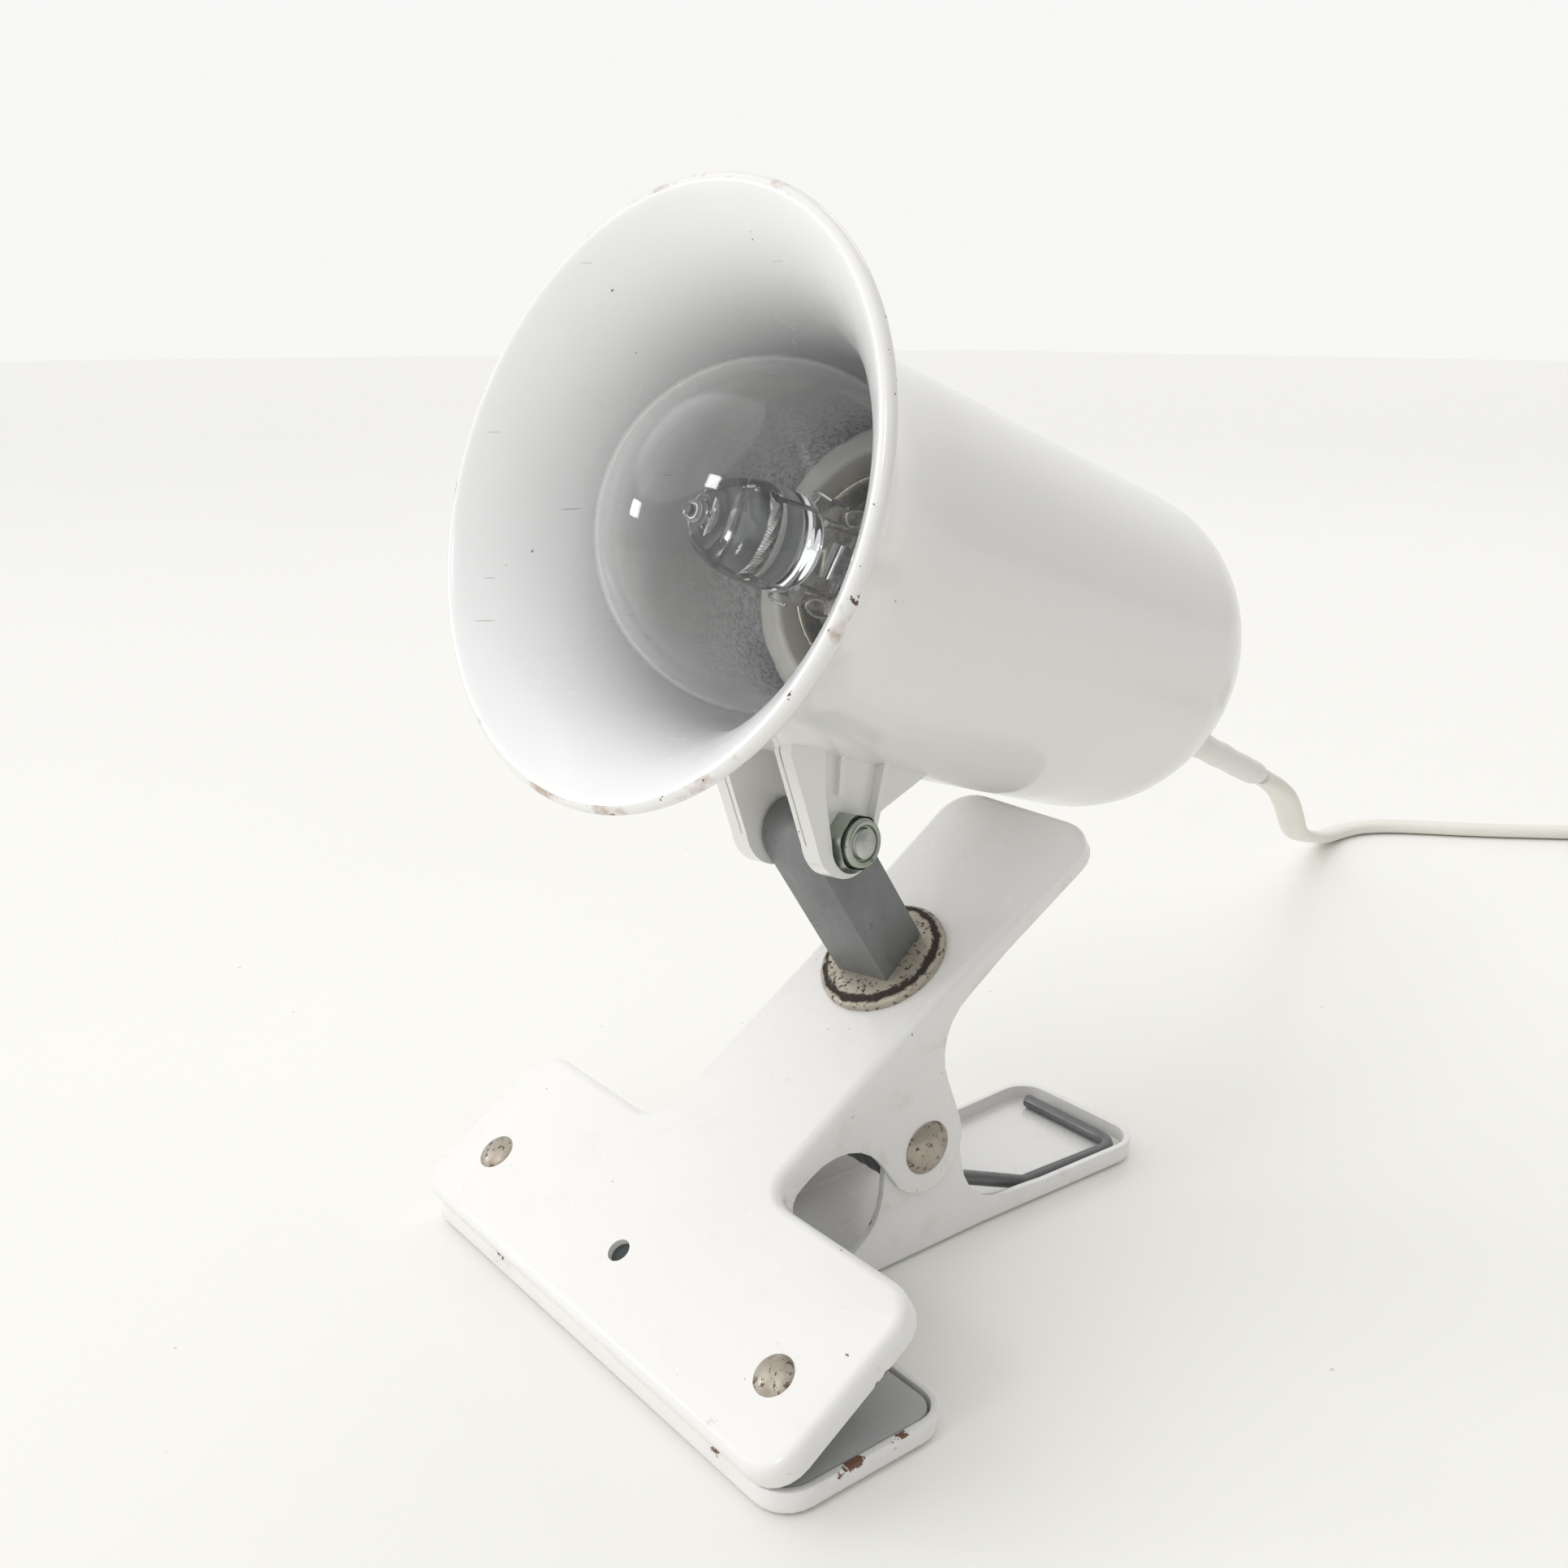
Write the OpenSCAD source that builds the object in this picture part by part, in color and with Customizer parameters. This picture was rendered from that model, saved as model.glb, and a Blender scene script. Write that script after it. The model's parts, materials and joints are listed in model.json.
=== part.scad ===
// Clip-on reading lamp: a two-jaw spring clamp, a square swivel arm and a trumpet-mouthed shade
// with an E27 lampholder and a P45 halogen bulb. Millimetres, +Z up. The clamp lies on its lower
// half: z = 0 is the underside of that half, y = 0 is below the clamp's pivot, the jaws face -Y.

/* [Clamp] */
// Width of the two jaws
jaw_w = 84; // [70:1:96]
// Depth of the jaws, front to back
jaw_l = 27; // [22:1:30]
// Length of each clamp half, from jaw front to handle end
half_l = 97; // [92:1:104]
// Width of the upper half's neck, over its ears
neck_w = 26; // [24:0.5:28]
// How much wider the handle is at its end than at the neck
tail_flare = 2.2; // [0:0.1:3]
// Sheet thickness of both halves
sheet = 1; // [0.8:0.1:1.2]
// Height of the turned rims, over the outer face
rim_h = 3.5; // [3:0.1:4]
// Distance of the pivot from the jaw front
pivot_y = 49; // [47:0.5:51]
// Distance of the pivot from the outer face of each half
pivot_h = 17.8; // [16:0.1:19]
// Diameter of the pivot rivet's shank
pivot_d = 4; // [3:0.1:4.4]
// Diameter of the spring wire
spring_wire = 2.2; // [1.8:0.1:2.4]

/* [Arm] */
// Distance of the arm from the jaw front, along the handle
arm_y = 64; // [60:0.5:66]
// Width of the square bar
bar_w = 9; // [8:0.5:10]
// Height of the tilt bolt above the handle
bolt_h = 25.5; // [23:0.5:30]
// Diameter of the washer under the arm
washer_d = 19; // [16:0.5:20]

/* [Head] */
// Outer radius of the shade's mouth
mouth_r = 37.5; // [35:0.5:40]
// Outer radius of the shade just behind the flare
body_r = 26.3; // [25.5:0.1:27]
// Wall of the shade
wall = 2; // [1.5:0.1:2.2]
// Distance of the shade's axis from the tilt bolt
axis_h = 36; // [35:0.5:37]
// Diameter of the bulb
bulb_d = 45; // [44:0.5:46]

/* [Pose] */
// Swivel of the arm about the handle's normal
swivel = 8.7; // [-60:0.1:60]
// Tilt of the shade's axis up from the handle's plane
tilt = 51; // [20:0.5:51]

/* [Hidden] */
$fn = 48;

// Clearances: between ears that pass each other, and round a turning pin
ear_gap = 0.1;
pin_gap = 0.05;

// Clamp: the halves are alike, so the closing angle follows from pivot and rim heights
clamp_angle = 2 * atan((pivot_h - rim_h) / pivot_y);
corner_r = 5;
neck_fillet = 4;
tail_corner_r = 5.5;
ear_r = 6.8;
upper_neck = neck_w / 2;
lower_neck = upper_neck - sheet - ear_gap;
taper_start = 62;
jaw_hole_y = 10;
jaw_rivet_x = 32.7;
jaw_rivet_r = 1.5;
jaw_hole_r = 1.6;
pad_t = 2.2;
pad_gap = 0.3;
rivet_head_r = 2.7;
rivet_head_h = 0.9;
pivot_head_r = 4;
pivot_head_h = 1.3;

// Spring: a coil round the rivet with one leg along each handle
coil_r = 5.4;
coil_x = 8.4;
coil_whole_turns = 7;
leg_z = sheet + spring_wire / 2 + 0.1;
leg_y = 24;
leg_x = 9.4;
leg_end = [10.4, 40.6];
leg_bend_r = 3.4;
leg_across = -8.5;

// Swivel joint
screw_r = 2.5;
washer_h = 1.8;
under_washer_r = 7;
under_washer_h = 1;
spring_washer_h = 1.2;
screw_head_r = 4.4;
screw_head_h = 3;

// Tilt joint: M4 bolt and self-locking nut
bolt_r = 2;
nut_af = 7;
nut_hex_h = 2.8;
nut_h = 3.8;
ear_in = bar_w / 2 + 0.25;
ear_out = ear_in + 2.9;
ear_floor = ear_in + 1.3;

// Shade profile, along its axis: z is 0 level with the bolt and positive towards the mouth
mouth_z = 38.5;
flare_z = 12;
dome_z = -54;
rear_z = -76;
dome_r = body_r - 0.6;
steps = 12;

// Lampholder and bulb
holder_front = -3.7;
holder_back = -50;
skirt_r = 22.2;
skirt_in = 17.7;
shell_r = 13.4;
bulb_z = 16.5;
bulb_r = bulb_d / 2;
glass_t = 0.7;
neck_glass_r = 12.4;
cap_front = -9.5;
cap_r = 13.1;
cap_back = -29;
boss_x = 12;
terminal = [8, -9];
gland_y = -7.2;
gland_r = 3.6;
sleeve_l = 48.6;
sleeve_droop = 6;

// Cord: flat twin flex and its route over the surface, from the sleeve's end to the coil
cord_w = 5.4;
cord_t = 3.2;
cord_route = [
    [-14.2, 110, 46.2], [-14.7, 115, 43.7], [-16, 120.5, 40.5], [-18.8, 127, 36.2],
    [-22.8, 134.8, 31.2], [-28, 143.8, 26.4], [-34, 154.4, 21.4], [-40.4, 166, 16.8],
    [-46.8, 178, 12.4], [-52.6, 189.6, 8.4], [-57.4, 200, 5], [-60.8, 209, 2.6],
    [-62.3, 217, 1.7], [-61.4, 224.6, 1.6], [-57.8, 231.2, 1.6], [-52.4, 237, 1.6],
    [-45.8, 243, 1.6], [-38.6, 250, 1.6], [-31, 258, 1.6], [-22.6, 267, 1.6],
    [-13.8, 275.8, 1.8], [-5, 284.4, 2.2], [3.3, 292.8, 2.4]
];
coil_c = [28, 268];
coil_in = 23.7;
coil_out = 35;
coil_layers = 4;
tie_t = 0.8;
coil_top = tie_t + coil_layers * cord_t;
tail_route = [
    [63, 268, 12], [63.6, 258, 11.8], [65.4, 248, 10.4], [67.8, 238, 7.8], [68, 232.3, 7.2]
];
plug_at = [68, 232, 7];

// ---- helpers -------------------------------------------------------------------------------

function unit(v) = v / norm(v);

// Points on an arc from angle a0 to a1
function arc(c, r, a0, a1, n = 6) = [for (i = [0:n]) let (a = a0 + (a1 - a0) * i / n)
    [c[0] + r * cos(a), c[1] + r * sin(a)]];

// Points on a cubic curve
function curve(a, b, c, d, n) = [for (i = [0:n]) let (t = i / n, s = 1 - t)
    s * s * s * a + 3 * s * s * t * b + 3 * s * t * t * c + t * t * t * d];

function tangent(p, i) = unit(p[min(i + 1, len(p) - 1)] - p[max(i - 1, 0)]);

// A frame at each point of a path, carried along it so that the tube doesn't twist
function carried(p, n, i = 0) = i == len(p) ? [] :
    let (t = tangent(p, i), m = unit(n - (n * t) * t)) concat([m], carried(p, m, i + 1));

// A tube of oval section along a path: a is its half width, b its half height along the normals
module tube(p, normals, a, b, sides = 8) {
    rings = [for (i = [0:len(p) - 1], k = [0:sides - 1])
        let (t = tangent(p, i), m = normals[i], s = cross(t, m), w = 360 * (k + 0.5) / sides)
        p[i] + a * cos(w) * s + b * sin(w) * m];
    walls = [for (i = [0:len(p) - 2], k = [0:sides - 1]) let (j = (k + 1) % sides)
        each [[i * sides + k, i * sides + j, (i + 1) * sides + j],
              [i * sides + k, (i + 1) * sides + j, (i + 1) * sides + k]]];
    first = [for (k = [sides - 1:-1:0]) k];
    last = [for (k = [0:sides - 1]) (len(p) - 1) * sides + k];
    polyhedron(rings, concat(walls, [first, last]));
}

// A domed head of radius r and height h on the plane z = 0
module dome(r, h) {
    big = (r * r + h * h) / (2 * h);
    half = asin(r / big);
    rotate_extrude() polygon(concat([[0, 0]], arc([0, h - big], big, 90 - half, 90, 6)));
}

// ---- frames --------------------------------------------------------------------------------

// Lower half: x across, y from the jaw front, z inwards from the outer face
module on_lower() translate([0, -pivot_y, 0]) children();

// Upper half: x across, y from the jaw front, z outwards from the outer face
module on_upper()
    translate([0, 0, pivot_h]) rotate([clamp_angle, 0, 0]) translate([0, -pivot_y, pivot_h])
    children();

// Arm: origin where it stands on the handle, z along the arm, x along the tilt bolt
module on_arm() on_upper() translate([0, arm_y, 0]) rotate([0, 0, swivel]) children();

// Head: origin on the tilt bolt's axis, y towards the shade's rear
module on_head() on_arm() translate([0, 0, bolt_h]) rotate([-tilt, 0, 0]) children();

// Shade axis: z towards the mouth, y away from the bolt
module on_axis() on_head() translate([0, 0, axis_h]) rotate([90, 0, 0]) children();

// ---- clamp ---------------------------------------------------------------------------------

// T-shaped outline of a half with its edge drawn in by o; n is half the neck's width
module outline(n, o) {
    w = jaw_w / 2 - o;
    t = n + tail_flare / 2 - o;
    right = concat(
        arc([w - corner_r + o, corner_r], corner_r - o, -90, 0),
        arc([w - corner_r + o, jaw_l - corner_r], corner_r - o, 0, 90),
        arc([n + neck_fillet, jaw_l + neck_fillet], neck_fillet + o, -90, -180),
        [[n - o, taper_start]],
        arc([t - tail_corner_r + o, half_l - tail_corner_r], tail_corner_r - o, 0, 90));
    left = [for (i = [len(right) - 1:-1:0]) [-right[i][0], right[i][1]]];
    polygon(concat(right, left));
}

// Side view of a half, y from the jaw front and height from the outer face, ears included
module side_view() {
    front = [33, 4.4];
    ear_front = 9;
    ear_rear = 9.4;
    rear = [66.4, 4];
    polygon(concat(
        [[-1, -1], [half_l + 1, -1], [half_l + 1, rim_h]],
        [[rear[0] + 8, rim_h]],
        arc([rear[0], rear[1] + ear_rear], ear_rear, -90, -172),
        arc([pivot_y, pivot_h], ear_r, 8, 184, 12),
        arc([front[0], front[1] + ear_front], ear_front, -6, -90),
        [[jaw_l + 0.2, front[1]], [jaw_l + 0.2, rim_h], [-1, rim_h]]));
}

// One pressed half, with its pivot, jaw and arm holes
module half(n, arm_hole) {
    difference() {
        intersection() {
            difference() {
                linear_extrude(30) outline(n, 0);
                translate([0, 0, sheet]) linear_extrude(30) outline(n, sheet);
            }
            rotate([90, 0, 90]) linear_extrude(jaw_w + 2, center = true) side_view();
        }
        translate([0, pivot_y, pivot_h]) rotate([0, 90, 0])
            cylinder(r = pivot_d / 2 + pin_gap, h = neck_w + 4, center = true);
        for (x = [-jaw_rivet_x, jaw_rivet_x])
            translate([x, jaw_hole_y, -1]) cylinder(r = jaw_rivet_r, h = sheet + 2);
        translate([0, jaw_hole_y, -1]) cylinder(r = jaw_hole_r, h = sheet + 2);
        if (arm_hole) translate([0, arm_y, -1]) cylinder(r = screw_r + pin_gap, h = sheet + 2);
    }
}

module lower_clamp() color("white") on_lower() half(lower_neck, false);

module upper_clamp() color("white") on_upper() mirror([0, 0, 1]) half(upper_neck, true);

module pivot_rivet() color("darkkhaki") translate([0, 0, pivot_h]) {
    rotate([0, 90, 0]) cylinder(r = pivot_d / 2, h = neck_w, center = true);
    for (s = [-1, 1]) rotate([0, 90 * s, 0]) translate([0, 0, neck_w / 2])
        dome(pivot_head_r, pivot_head_h);
}

// A handle leg, from the coil's tangent point along the right wall and across the handle's end
function leg(flip) =
    let (far = [leg_y, leg_z - pivot_h], d = norm(far), a = atan2(far[1], far[0]) - acos(coil_r / d),
        start = coil_r * [cos(a), sin(a)],
        down = [for (i = [0:4]) [coil_x + (leg_x - coil_x) * i / 4,
            start[0] + (far[0] - start[0]) * i / 4, start[1] + (far[1] - start[1]) * i / 4]],
        bend = [for (q = arc([leg_end[0] - leg_bend_r, leg_end[1]], leg_bend_r, 0, 90, 4))
            [q[0], q[1], far[1]]],
        p = concat(down, bend, [[leg_across, leg_end[1] + leg_bend_r, far[1]]]))
    [for (q = p) flip ? [-q[0], q[1], -q[2]] : q];

function turned(q, a) = [q[0], q[1] * cos(a) - q[2] * sin(a), q[1] * sin(a) + q[2] * cos(a)];

module clamp_spring() color("dimgray") {
    low = leg(false);
    up = [for (q = leg(true)) turned(q, clamp_angle)];
    a0 = atan2(low[0][2], low[0][1]);
    a1 = atan2(up[0][2], up[0][1]);
    sweep = (a1 > a0 ? a1 - 360 : a1) - a0 - 360 * coil_whole_turns;
    count = 13 * (coil_whole_turns + 1);
    coil = [for (i = [1:count - 1]) let (a = a0 + sweep * i / count)
        [coil_x - 2 * coil_x * i / count, coil_r * cos(a), coil_r * sin(a)]];
    p = concat([for (i = [len(low) - 1:-1:0]) low[i]], coil, up);
    translate([0, 0, pivot_h])
        tube(p, carried(p, [0, 0, 1]), spring_wire / 2, spring_wire / 2);
}

module pad() difference() {
    inset = sheet + 0.4;
    translate([0, 0, sheet]) linear_extrude(pad_t)
        polygon(concat(
            arc([jaw_w / 2 - corner_r, corner_r], corner_r - inset, -90, 0),
            arc([jaw_w / 2 - corner_r, jaw_l - corner_r], corner_r - inset, 0, 90),
            arc([corner_r - jaw_w / 2, jaw_l - corner_r], corner_r - inset, 90, 180),
            arc([corner_r - jaw_w / 2, corner_r], corner_r - inset, 180, 270)));
    for (x = [-jaw_rivet_x, jaw_rivet_x])
        translate([x, jaw_hole_y, 0]) cylinder(r = jaw_rivet_r, h = sheet + pad_t + 1);
}

module lower_jaw_pad() color("slategray") on_lower() pad();

module upper_jaw_pad() color("dimgray") on_upper() mirror([0, 0, 1]) pad();

module lower_jaw_rivets() color("darkkhaki") on_lower()
    for (x = [-jaw_rivet_x, jaw_rivet_x]) translate([x, jaw_hole_y, 0])
        cylinder(r = jaw_rivet_r, h = sheet + pad_t - pad_gap);

module upper_jaw_rivets() color("darkkhaki") on_upper()
    for (x = [-jaw_rivet_x, jaw_rivet_x]) translate([x, jaw_hole_y, 0]) {
        translate([0, 0, pad_gap - sheet - pad_t])
            cylinder(r = jaw_rivet_r, h = sheet + pad_t - pad_gap);
        dome(rivet_head_r, rivet_head_h);
    }

// ---- arm -----------------------------------------------------------------------------------

module pivot_arm() color("dimgray") on_arm() difference() {
    intersection() {
        translate([-bar_w / 2, -bar_w / 2, washer_h]) cube([bar_w, bar_w, bolt_h + bar_w]);
        union() {
            translate([-bar_w, -bar_w, 0]) cube([2 * bar_w, 2 * bar_w, bolt_h]);
            translate([0, 0, bolt_h]) rotate([0, 90, 0])
                cylinder(r = bar_w / 2, h = 2 * bar_w, center = true);
        }
    }
    translate([0, 0, bolt_h]) rotate([0, 90, 0])
        cylinder(r = bolt_r + pin_gap, h = 2 * bar_w, center = true);
    translate([0, 0, washer_h - 1]) cylinder(r = screw_r, h = 11);
}

module swivel_washer() color("wheat") on_arm() rotate_extrude() polygon([
    [screw_r, 0.05], [washer_d / 2, 0.05], [washer_d / 2, 1], [washer_d / 2 - 0.5, 1.3],
    [washer_d / 2 - 1, 1.3], [washer_d / 2 - 1.4, washer_h], [screw_r, washer_h]]);

module swivel_under_washer() color("silver") on_arm() difference() {
    translate([0, 0, -sheet - 0.05 - under_washer_h])
        cylinder(r = under_washer_r, h = under_washer_h);
    translate([0, 0, -10]) cylinder(r = screw_r, h = 20);
}

module swivel_spring_washer() color("gray") on_arm() difference() {
    translate([0, 0, -sheet - 0.05 - under_washer_h - spring_washer_h])
        cylinder(r = screw_head_r + 0.2, h = spring_washer_h);
    translate([0, 0, -10]) cylinder(r = screw_r, h = 20);
    translate([0, -0.4, -10]) cube([10, 0.8, 20]);
}

module swivel_screw() color("silver") on_arm() {
    under = sheet + 0.05 + under_washer_h + spring_washer_h;
    translate([0, 0, -under]) cylinder(r = screw_r, h = under + washer_h + 9);
    difference() {
        translate([0, 0, -under]) mirror([0, 0, 1]) dome(screw_head_r, screw_head_h);
        translate([-5, -0.6, -under - screw_head_h - 0.1]) cube([10, 1.2, 1.5]);
    }
}

// ---- head ----------------------------------------------------------------------------------

// Half section of the shade's outside, drawn in by the wall when o is set
function shade_line(o) = concat(
    arc_dome(dome_r - o, dome_z - rear_z - o),
    curve([body_r - o, flare_z], [body_r + 0.4 - o, flare_z + 12],
        [body_r + 4.2 - o, mouth_z - 6], [mouth_r - o, mouth_z], steps));

function arc_dome(r, l) = [for (i = [0:steps]) let (a = 90 * i / steps)
    [r * sin(a), dome_z - l * cos(a)]];

module shade_solid() rotate_extrude($fn = 96)
    polygon(concat(shade_line(0), [[0, mouth_z]]));

// Side view of an ear: y towards the rear, z away from the bolt's side
module ear_view() polygon(concat(
    [[5.2, 12], [-15, 12], [-14.6, 9.5]],
    arc([-1.4, 1], 6, 205, 355, 8)));

module gusset_view() polygon([[4, 12], [4, 3], [14.5, 10.6], [15, 12]]);

module ear() {
    difference() {
        rotate([90, 0, 90]) translate([0, 0, ear_in]) linear_extrude(ear_out - ear_in) ear_view();
        rotate([0, 90, 0]) cylinder(r = bolt_r + pin_gap, h = 2 * ear_out);
        translate([ear_floor, 0, 0]) rotate([0, 90, 0]) cylinder(r = 4.6, h = 5);
        translate([ear_floor, -4.3, 0]) cube([5, 7.3, 9.6]);
    }
    rotate([90, 0, 90]) translate([0, 0, ear_in + 0.3]) linear_extrude(1.2) gusset_view();
}

module shade() color("whitesmoke") {
    on_axis() difference() {
        union() {
            rotate_extrude($fn = 96) polygon(concat(shade_line(0),
                [for (i = [2 * steps + 1:-1:0]) shade_line(wall)[i]]));
            intersection() {
                shade_solid();
                for (x = [-boss_x, boss_x])
                    translate([x, 0, rear_z]) cylinder(r = 3, h = holder_back - 2 - rear_z);
            }
        }
        translate([0, gland_y, rear_z - 5]) cylinder(r = gland_r, h = 20);
        for (x = [-boss_x, boss_x])
            translate([x, 0, holder_back - 14]) cylinder(r = 1.4, h = 20);
    }
    on_head() {
        ear();
        mirror([1, 0, 0]) ear();
    }
}

module tilt_bolt() color("silver") on_head() {
    translate([-ear_floor, 0, 0]) rotate([0, 90, 0])
        cylinder(r = bolt_r, h = ear_floor + ear_floor + nut_h + 0.4);
    translate([-ear_floor, 0, 0]) rotate([0, -90, 0]) {
        cylinder(r = 3.5, h = 2);
        translate([0, 0, 2]) dome(3.5, 1.2);
    }
}

module tilt_nut() color("darkseagreen") on_head() translate([ear_floor, 0, 0]) rotate([0, 90, 0])
    difference() {
        union() {
            cylinder(r = nut_af / 2 / cos(30), h = nut_hex_h, $fn = 6);
            cylinder(r = nut_af / 2 - 0.2, h = nut_h);
        }
        translate([0, 0, -1]) cylinder(r = bolt_r, h = nut_h + 2);
    }

// ---- lampholder ----------------------------------------------------------------------------

module lampholder_skirt() color("oldlace") on_axis() difference() {
    rotate_extrude() polygon(concat(
        [[skirt_r - 2, holder_back], [skirt_r, holder_back + 3]],
        arc([skirt_r - 1.6, holder_front - 1.6], 1.6, 0, 90),
        arc([skirt_in + 1, holder_front - 1], 1, 90, 180),
        [[skirt_in, holder_back + 4], [4, holder_back + 4], [4, holder_back]]));
    for (x = [-boss_x, boss_x])
        translate([x, 0, holder_back - 1]) cylinder(r = 1.6, h = 6);
    for (x = [-terminal[0], terminal[0]])
        translate([x, terminal[1], holder_back - 1]) cylinder(r = 1.6, h = 6);
}

module lampholder_core() color("ivory") on_axis() difference() {
    translate([0, 0, holder_back + 4]) cylinder(r = skirt_in - 0.2, h = 7);
    translate([0, 0, holder_back + 3]) cylinder(r = 3, h = 10);
    for (x = [-boss_x, boss_x])
        translate([x, 0, holder_back + 3]) cylinder(r = 3.2, h = 9);
    for (x = [-terminal[0], terminal[0]]) translate([x, terminal[1], holder_back]) {
        translate([0, 0, 3]) cylinder(r = 1.6, h = 9);
        translate([0, 0, 8.8]) cylinder(r = 2.9, h = 3);
    }
}

// Ring thread between two radii, as [r, z] points from z0 to z1
function thread(r0, r1, z0, z1, turns) = [for (i = [0:4 * turns])
    [(r0 + r1) / 2 + (r1 - r0) / 2 * sin(90 * i), z0 + (z1 - z0) * i / (4 * turns)]];

module threaded_shell() color("gold") on_axis() {
    z0 = holder_back + 11;
    z1 = holder_front + 0.3;
    outer = thread(shell_r + 0.4, shell_r + 0.7, z0, z1 - 2, 6);
    inner = thread(shell_r - 0.1, shell_r + 0.2, z0 + 0.5, z1 - 2, 6);
    rotate_extrude() polygon(concat(
        [[6, z0]], outer, [[shell_r + 0.9, z1], [shell_r + 0.5, z1]],
        [for (i = [len(inner) - 1:-1:0]) inner[i]], [[6, z0 + 0.5]]));
}

module centre_contact() color("gold") on_axis() {
    translate([-2, -2, holder_back + 11]) cube([4, 4, 0.5]);
    translate([-2, -2, holder_back + 11.5]) cube([4, 0.5, 1.5]);
    translate([-2, -2, holder_back + 13]) cube([4, 5, 0.5]);
}

module terminal_screws() color("silver") on_axis() for (x = [-terminal[0], terminal[0]])
    translate([x, terminal[1], holder_back + 4]) {
        cylinder(r = 1.5, h = 4.8);
        translate([0, 0, 4.8]) cylinder(r = 2.6, h = 1.6);
    }

module holder_screws() color("silver") on_axis() for (x = [-boss_x, boss_x])
    translate([x, 0, holder_back + 4]) {
        translate([0, 0, -14]) cylinder(r = 1.4, h = 14);
        dome(2.8, 2);
    }

module core_wires() color("steelblue") on_axis() for (s = [-1, 1]) {
    from = [1.5 * s, gland_y, rear_z + 17];
    to = [terminal[0] * s, terminal[1], holder_back - 0.2];
    run = to - from;
    translate(from) rotate([0, acos(run[2] / norm(run)), atan2(run[1], run[0])])
        cylinder(r = 1.1, h = norm(run), $fn = 24);
    translate(to - [0, 0, 2]) cylinder(r = 1.1, h = 6.1, $fn = 24);
}

// Tapered sleeve of the cord, oval and drooping outside the shade, held by a collar inside it
module strain_relief() color("white") on_axis() translate([0, gland_y, rear_z + 4.5]) {
    rotate([-sleeve_droop, 0, 0]) hull() {
        scale([1.3, 1, 1]) cylinder(r = 2.7, h = 0.5, $fn = 32);
        translate([0, 0, -sleeve_l]) scale([1.4, 1, 1]) cylinder(r = 2.1, h = 0.5, $fn = 32);
    }
    cylinder(r = 3.5, h = 10);
    translate([0, 0, 10]) cylinder(r = 4.8, h = 1.5);
}

// ---- bulb ----------------------------------------------------------------------------------

// Half section of the glass: a globe that draws in to a neck, its wall o inside the outside
function globe(o) = concat(
    curve([neck_glass_r - o, cap_front - 4], [neck_glass_r - o, cap_front + 8],
        [bulb_r - o - 7.5, cap_front + 10],
        [(bulb_r - o) * sin(128), bulb_z + (bulb_r - o) * cos(128)], 6),
    [for (a = [122:-8:2]) [(bulb_r - o) * sin(a), bulb_z + (bulb_r - o) * cos(a)]],
    [[0, bulb_z + bulb_r - o]]);

module bulb_glass() color("lightcyan", 0.4) on_axis() rotate_extrude($fn = 64)
    polygon(concat(globe(0), [for (i = [len(globe(glass_t)) - 1:-1:0]) globe(glass_t)[i]]));

module bulb_cap() color("silver") on_axis() {
    outer = thread(cap_r - 0.5, cap_r, cap_back, cap_front - 1.5, 5);
    rotate_extrude() polygon(concat(
        [[10, cap_back - 2.4], [10.5, cap_back - 2.4]], outer,
        [[cap_r - 0.2, cap_front], [neck_glass_r, cap_front], [neck_glass_r, cap_front - 4],
            [neck_glass_r - 0.4, cap_back + 0.6], [10, cap_back - 1.6]]));
}

module bulb_cap_insulator() color("black") on_axis() rotate_extrude() polygon([
    [0, cap_back - 1.8], [10, cap_back - 1.8], [10, cap_back - 2.4], [5, cap_back - 6], [0, cap_back - 6]]);

module bulb_cap_contact() color("silver") on_axis() translate([0, 0, cap_back - 6])
    mirror([0, 0, 1]) dome(4.5, 1);

// Capsule: a quartz tube with a pinched base, on the bulb's axis
bulb_turn = 70;
capsule_r = 6.6;
capsule_front = bulb_z + 15;
capsule_back = bulb_z - 4;

module halogen_capsule() color("aliceblue", 0.5) on_axis() rotate([0, 0, bulb_turn]) {
    rotate_extrude() polygon(concat(
        [[0, capsule_back], [capsule_r - 2.4, capsule_back]],
        arc([capsule_r - 2.4, capsule_back + 2.4], 2.4, -90, 0, 4),
        curve([capsule_r, capsule_front - 7], [capsule_r, capsule_front - 3],
            [2.4, capsule_front - 3], [1.2, capsule_front], 6),
        [[0, capsule_front], [0, capsule_front - 5.5], [capsule_r - 2.4, capsule_front - 6],
            [capsule_r - 1, capsule_front - 8], [capsule_r - 1, capsule_back + 2],
            [capsule_r - 2, capsule_back + 1], [0, capsule_back + 1]]));
    translate([-5.4, -1.5, capsule_back - 7.5]) cube([10.8, 3, 7.6]);
}

module capsule_frame() color("lightsteelblue") on_axis() rotate([0, 0, bulb_turn]) {
    for (s = [-1, 1]) {
        translate([4.2 * s, -2.4, -22]) cylinder(r = 0.5, h = capsule_back + 20, $fn = 16);
        translate([4.2 * s - 1.2, -3, capsule_back - 6]) cube([2.4, 1.4, 4]);
    }
    difference() {
        translate([-7, -4, capsule_back - 9]) cube([14, 8, 0.5]);
        translate([-5.5, -1.6, capsule_back - 10]) cube([11, 3.2, 2]);
    }
    translate([0, 0, -26]) cylinder(r1 = 8, r2 = 3.4, h = 12);
}

module filament() color("goldenrod") on_axis() rotate([0, 0, bulb_turn]) translate([0, 0, capsule_back]) {
    for (x = [-2.4, 2.4]) translate([x, 0, -3]) cylinder(r = 0.3, h = 10, $fn = 16);
    translate([-2.7, 0, 7]) rotate([0, 90, 0]) cylinder(r = 0.8, h = 5.4, $fn = 16);
}

// ---- cord and plug -------------------------------------------------------------------------

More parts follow.
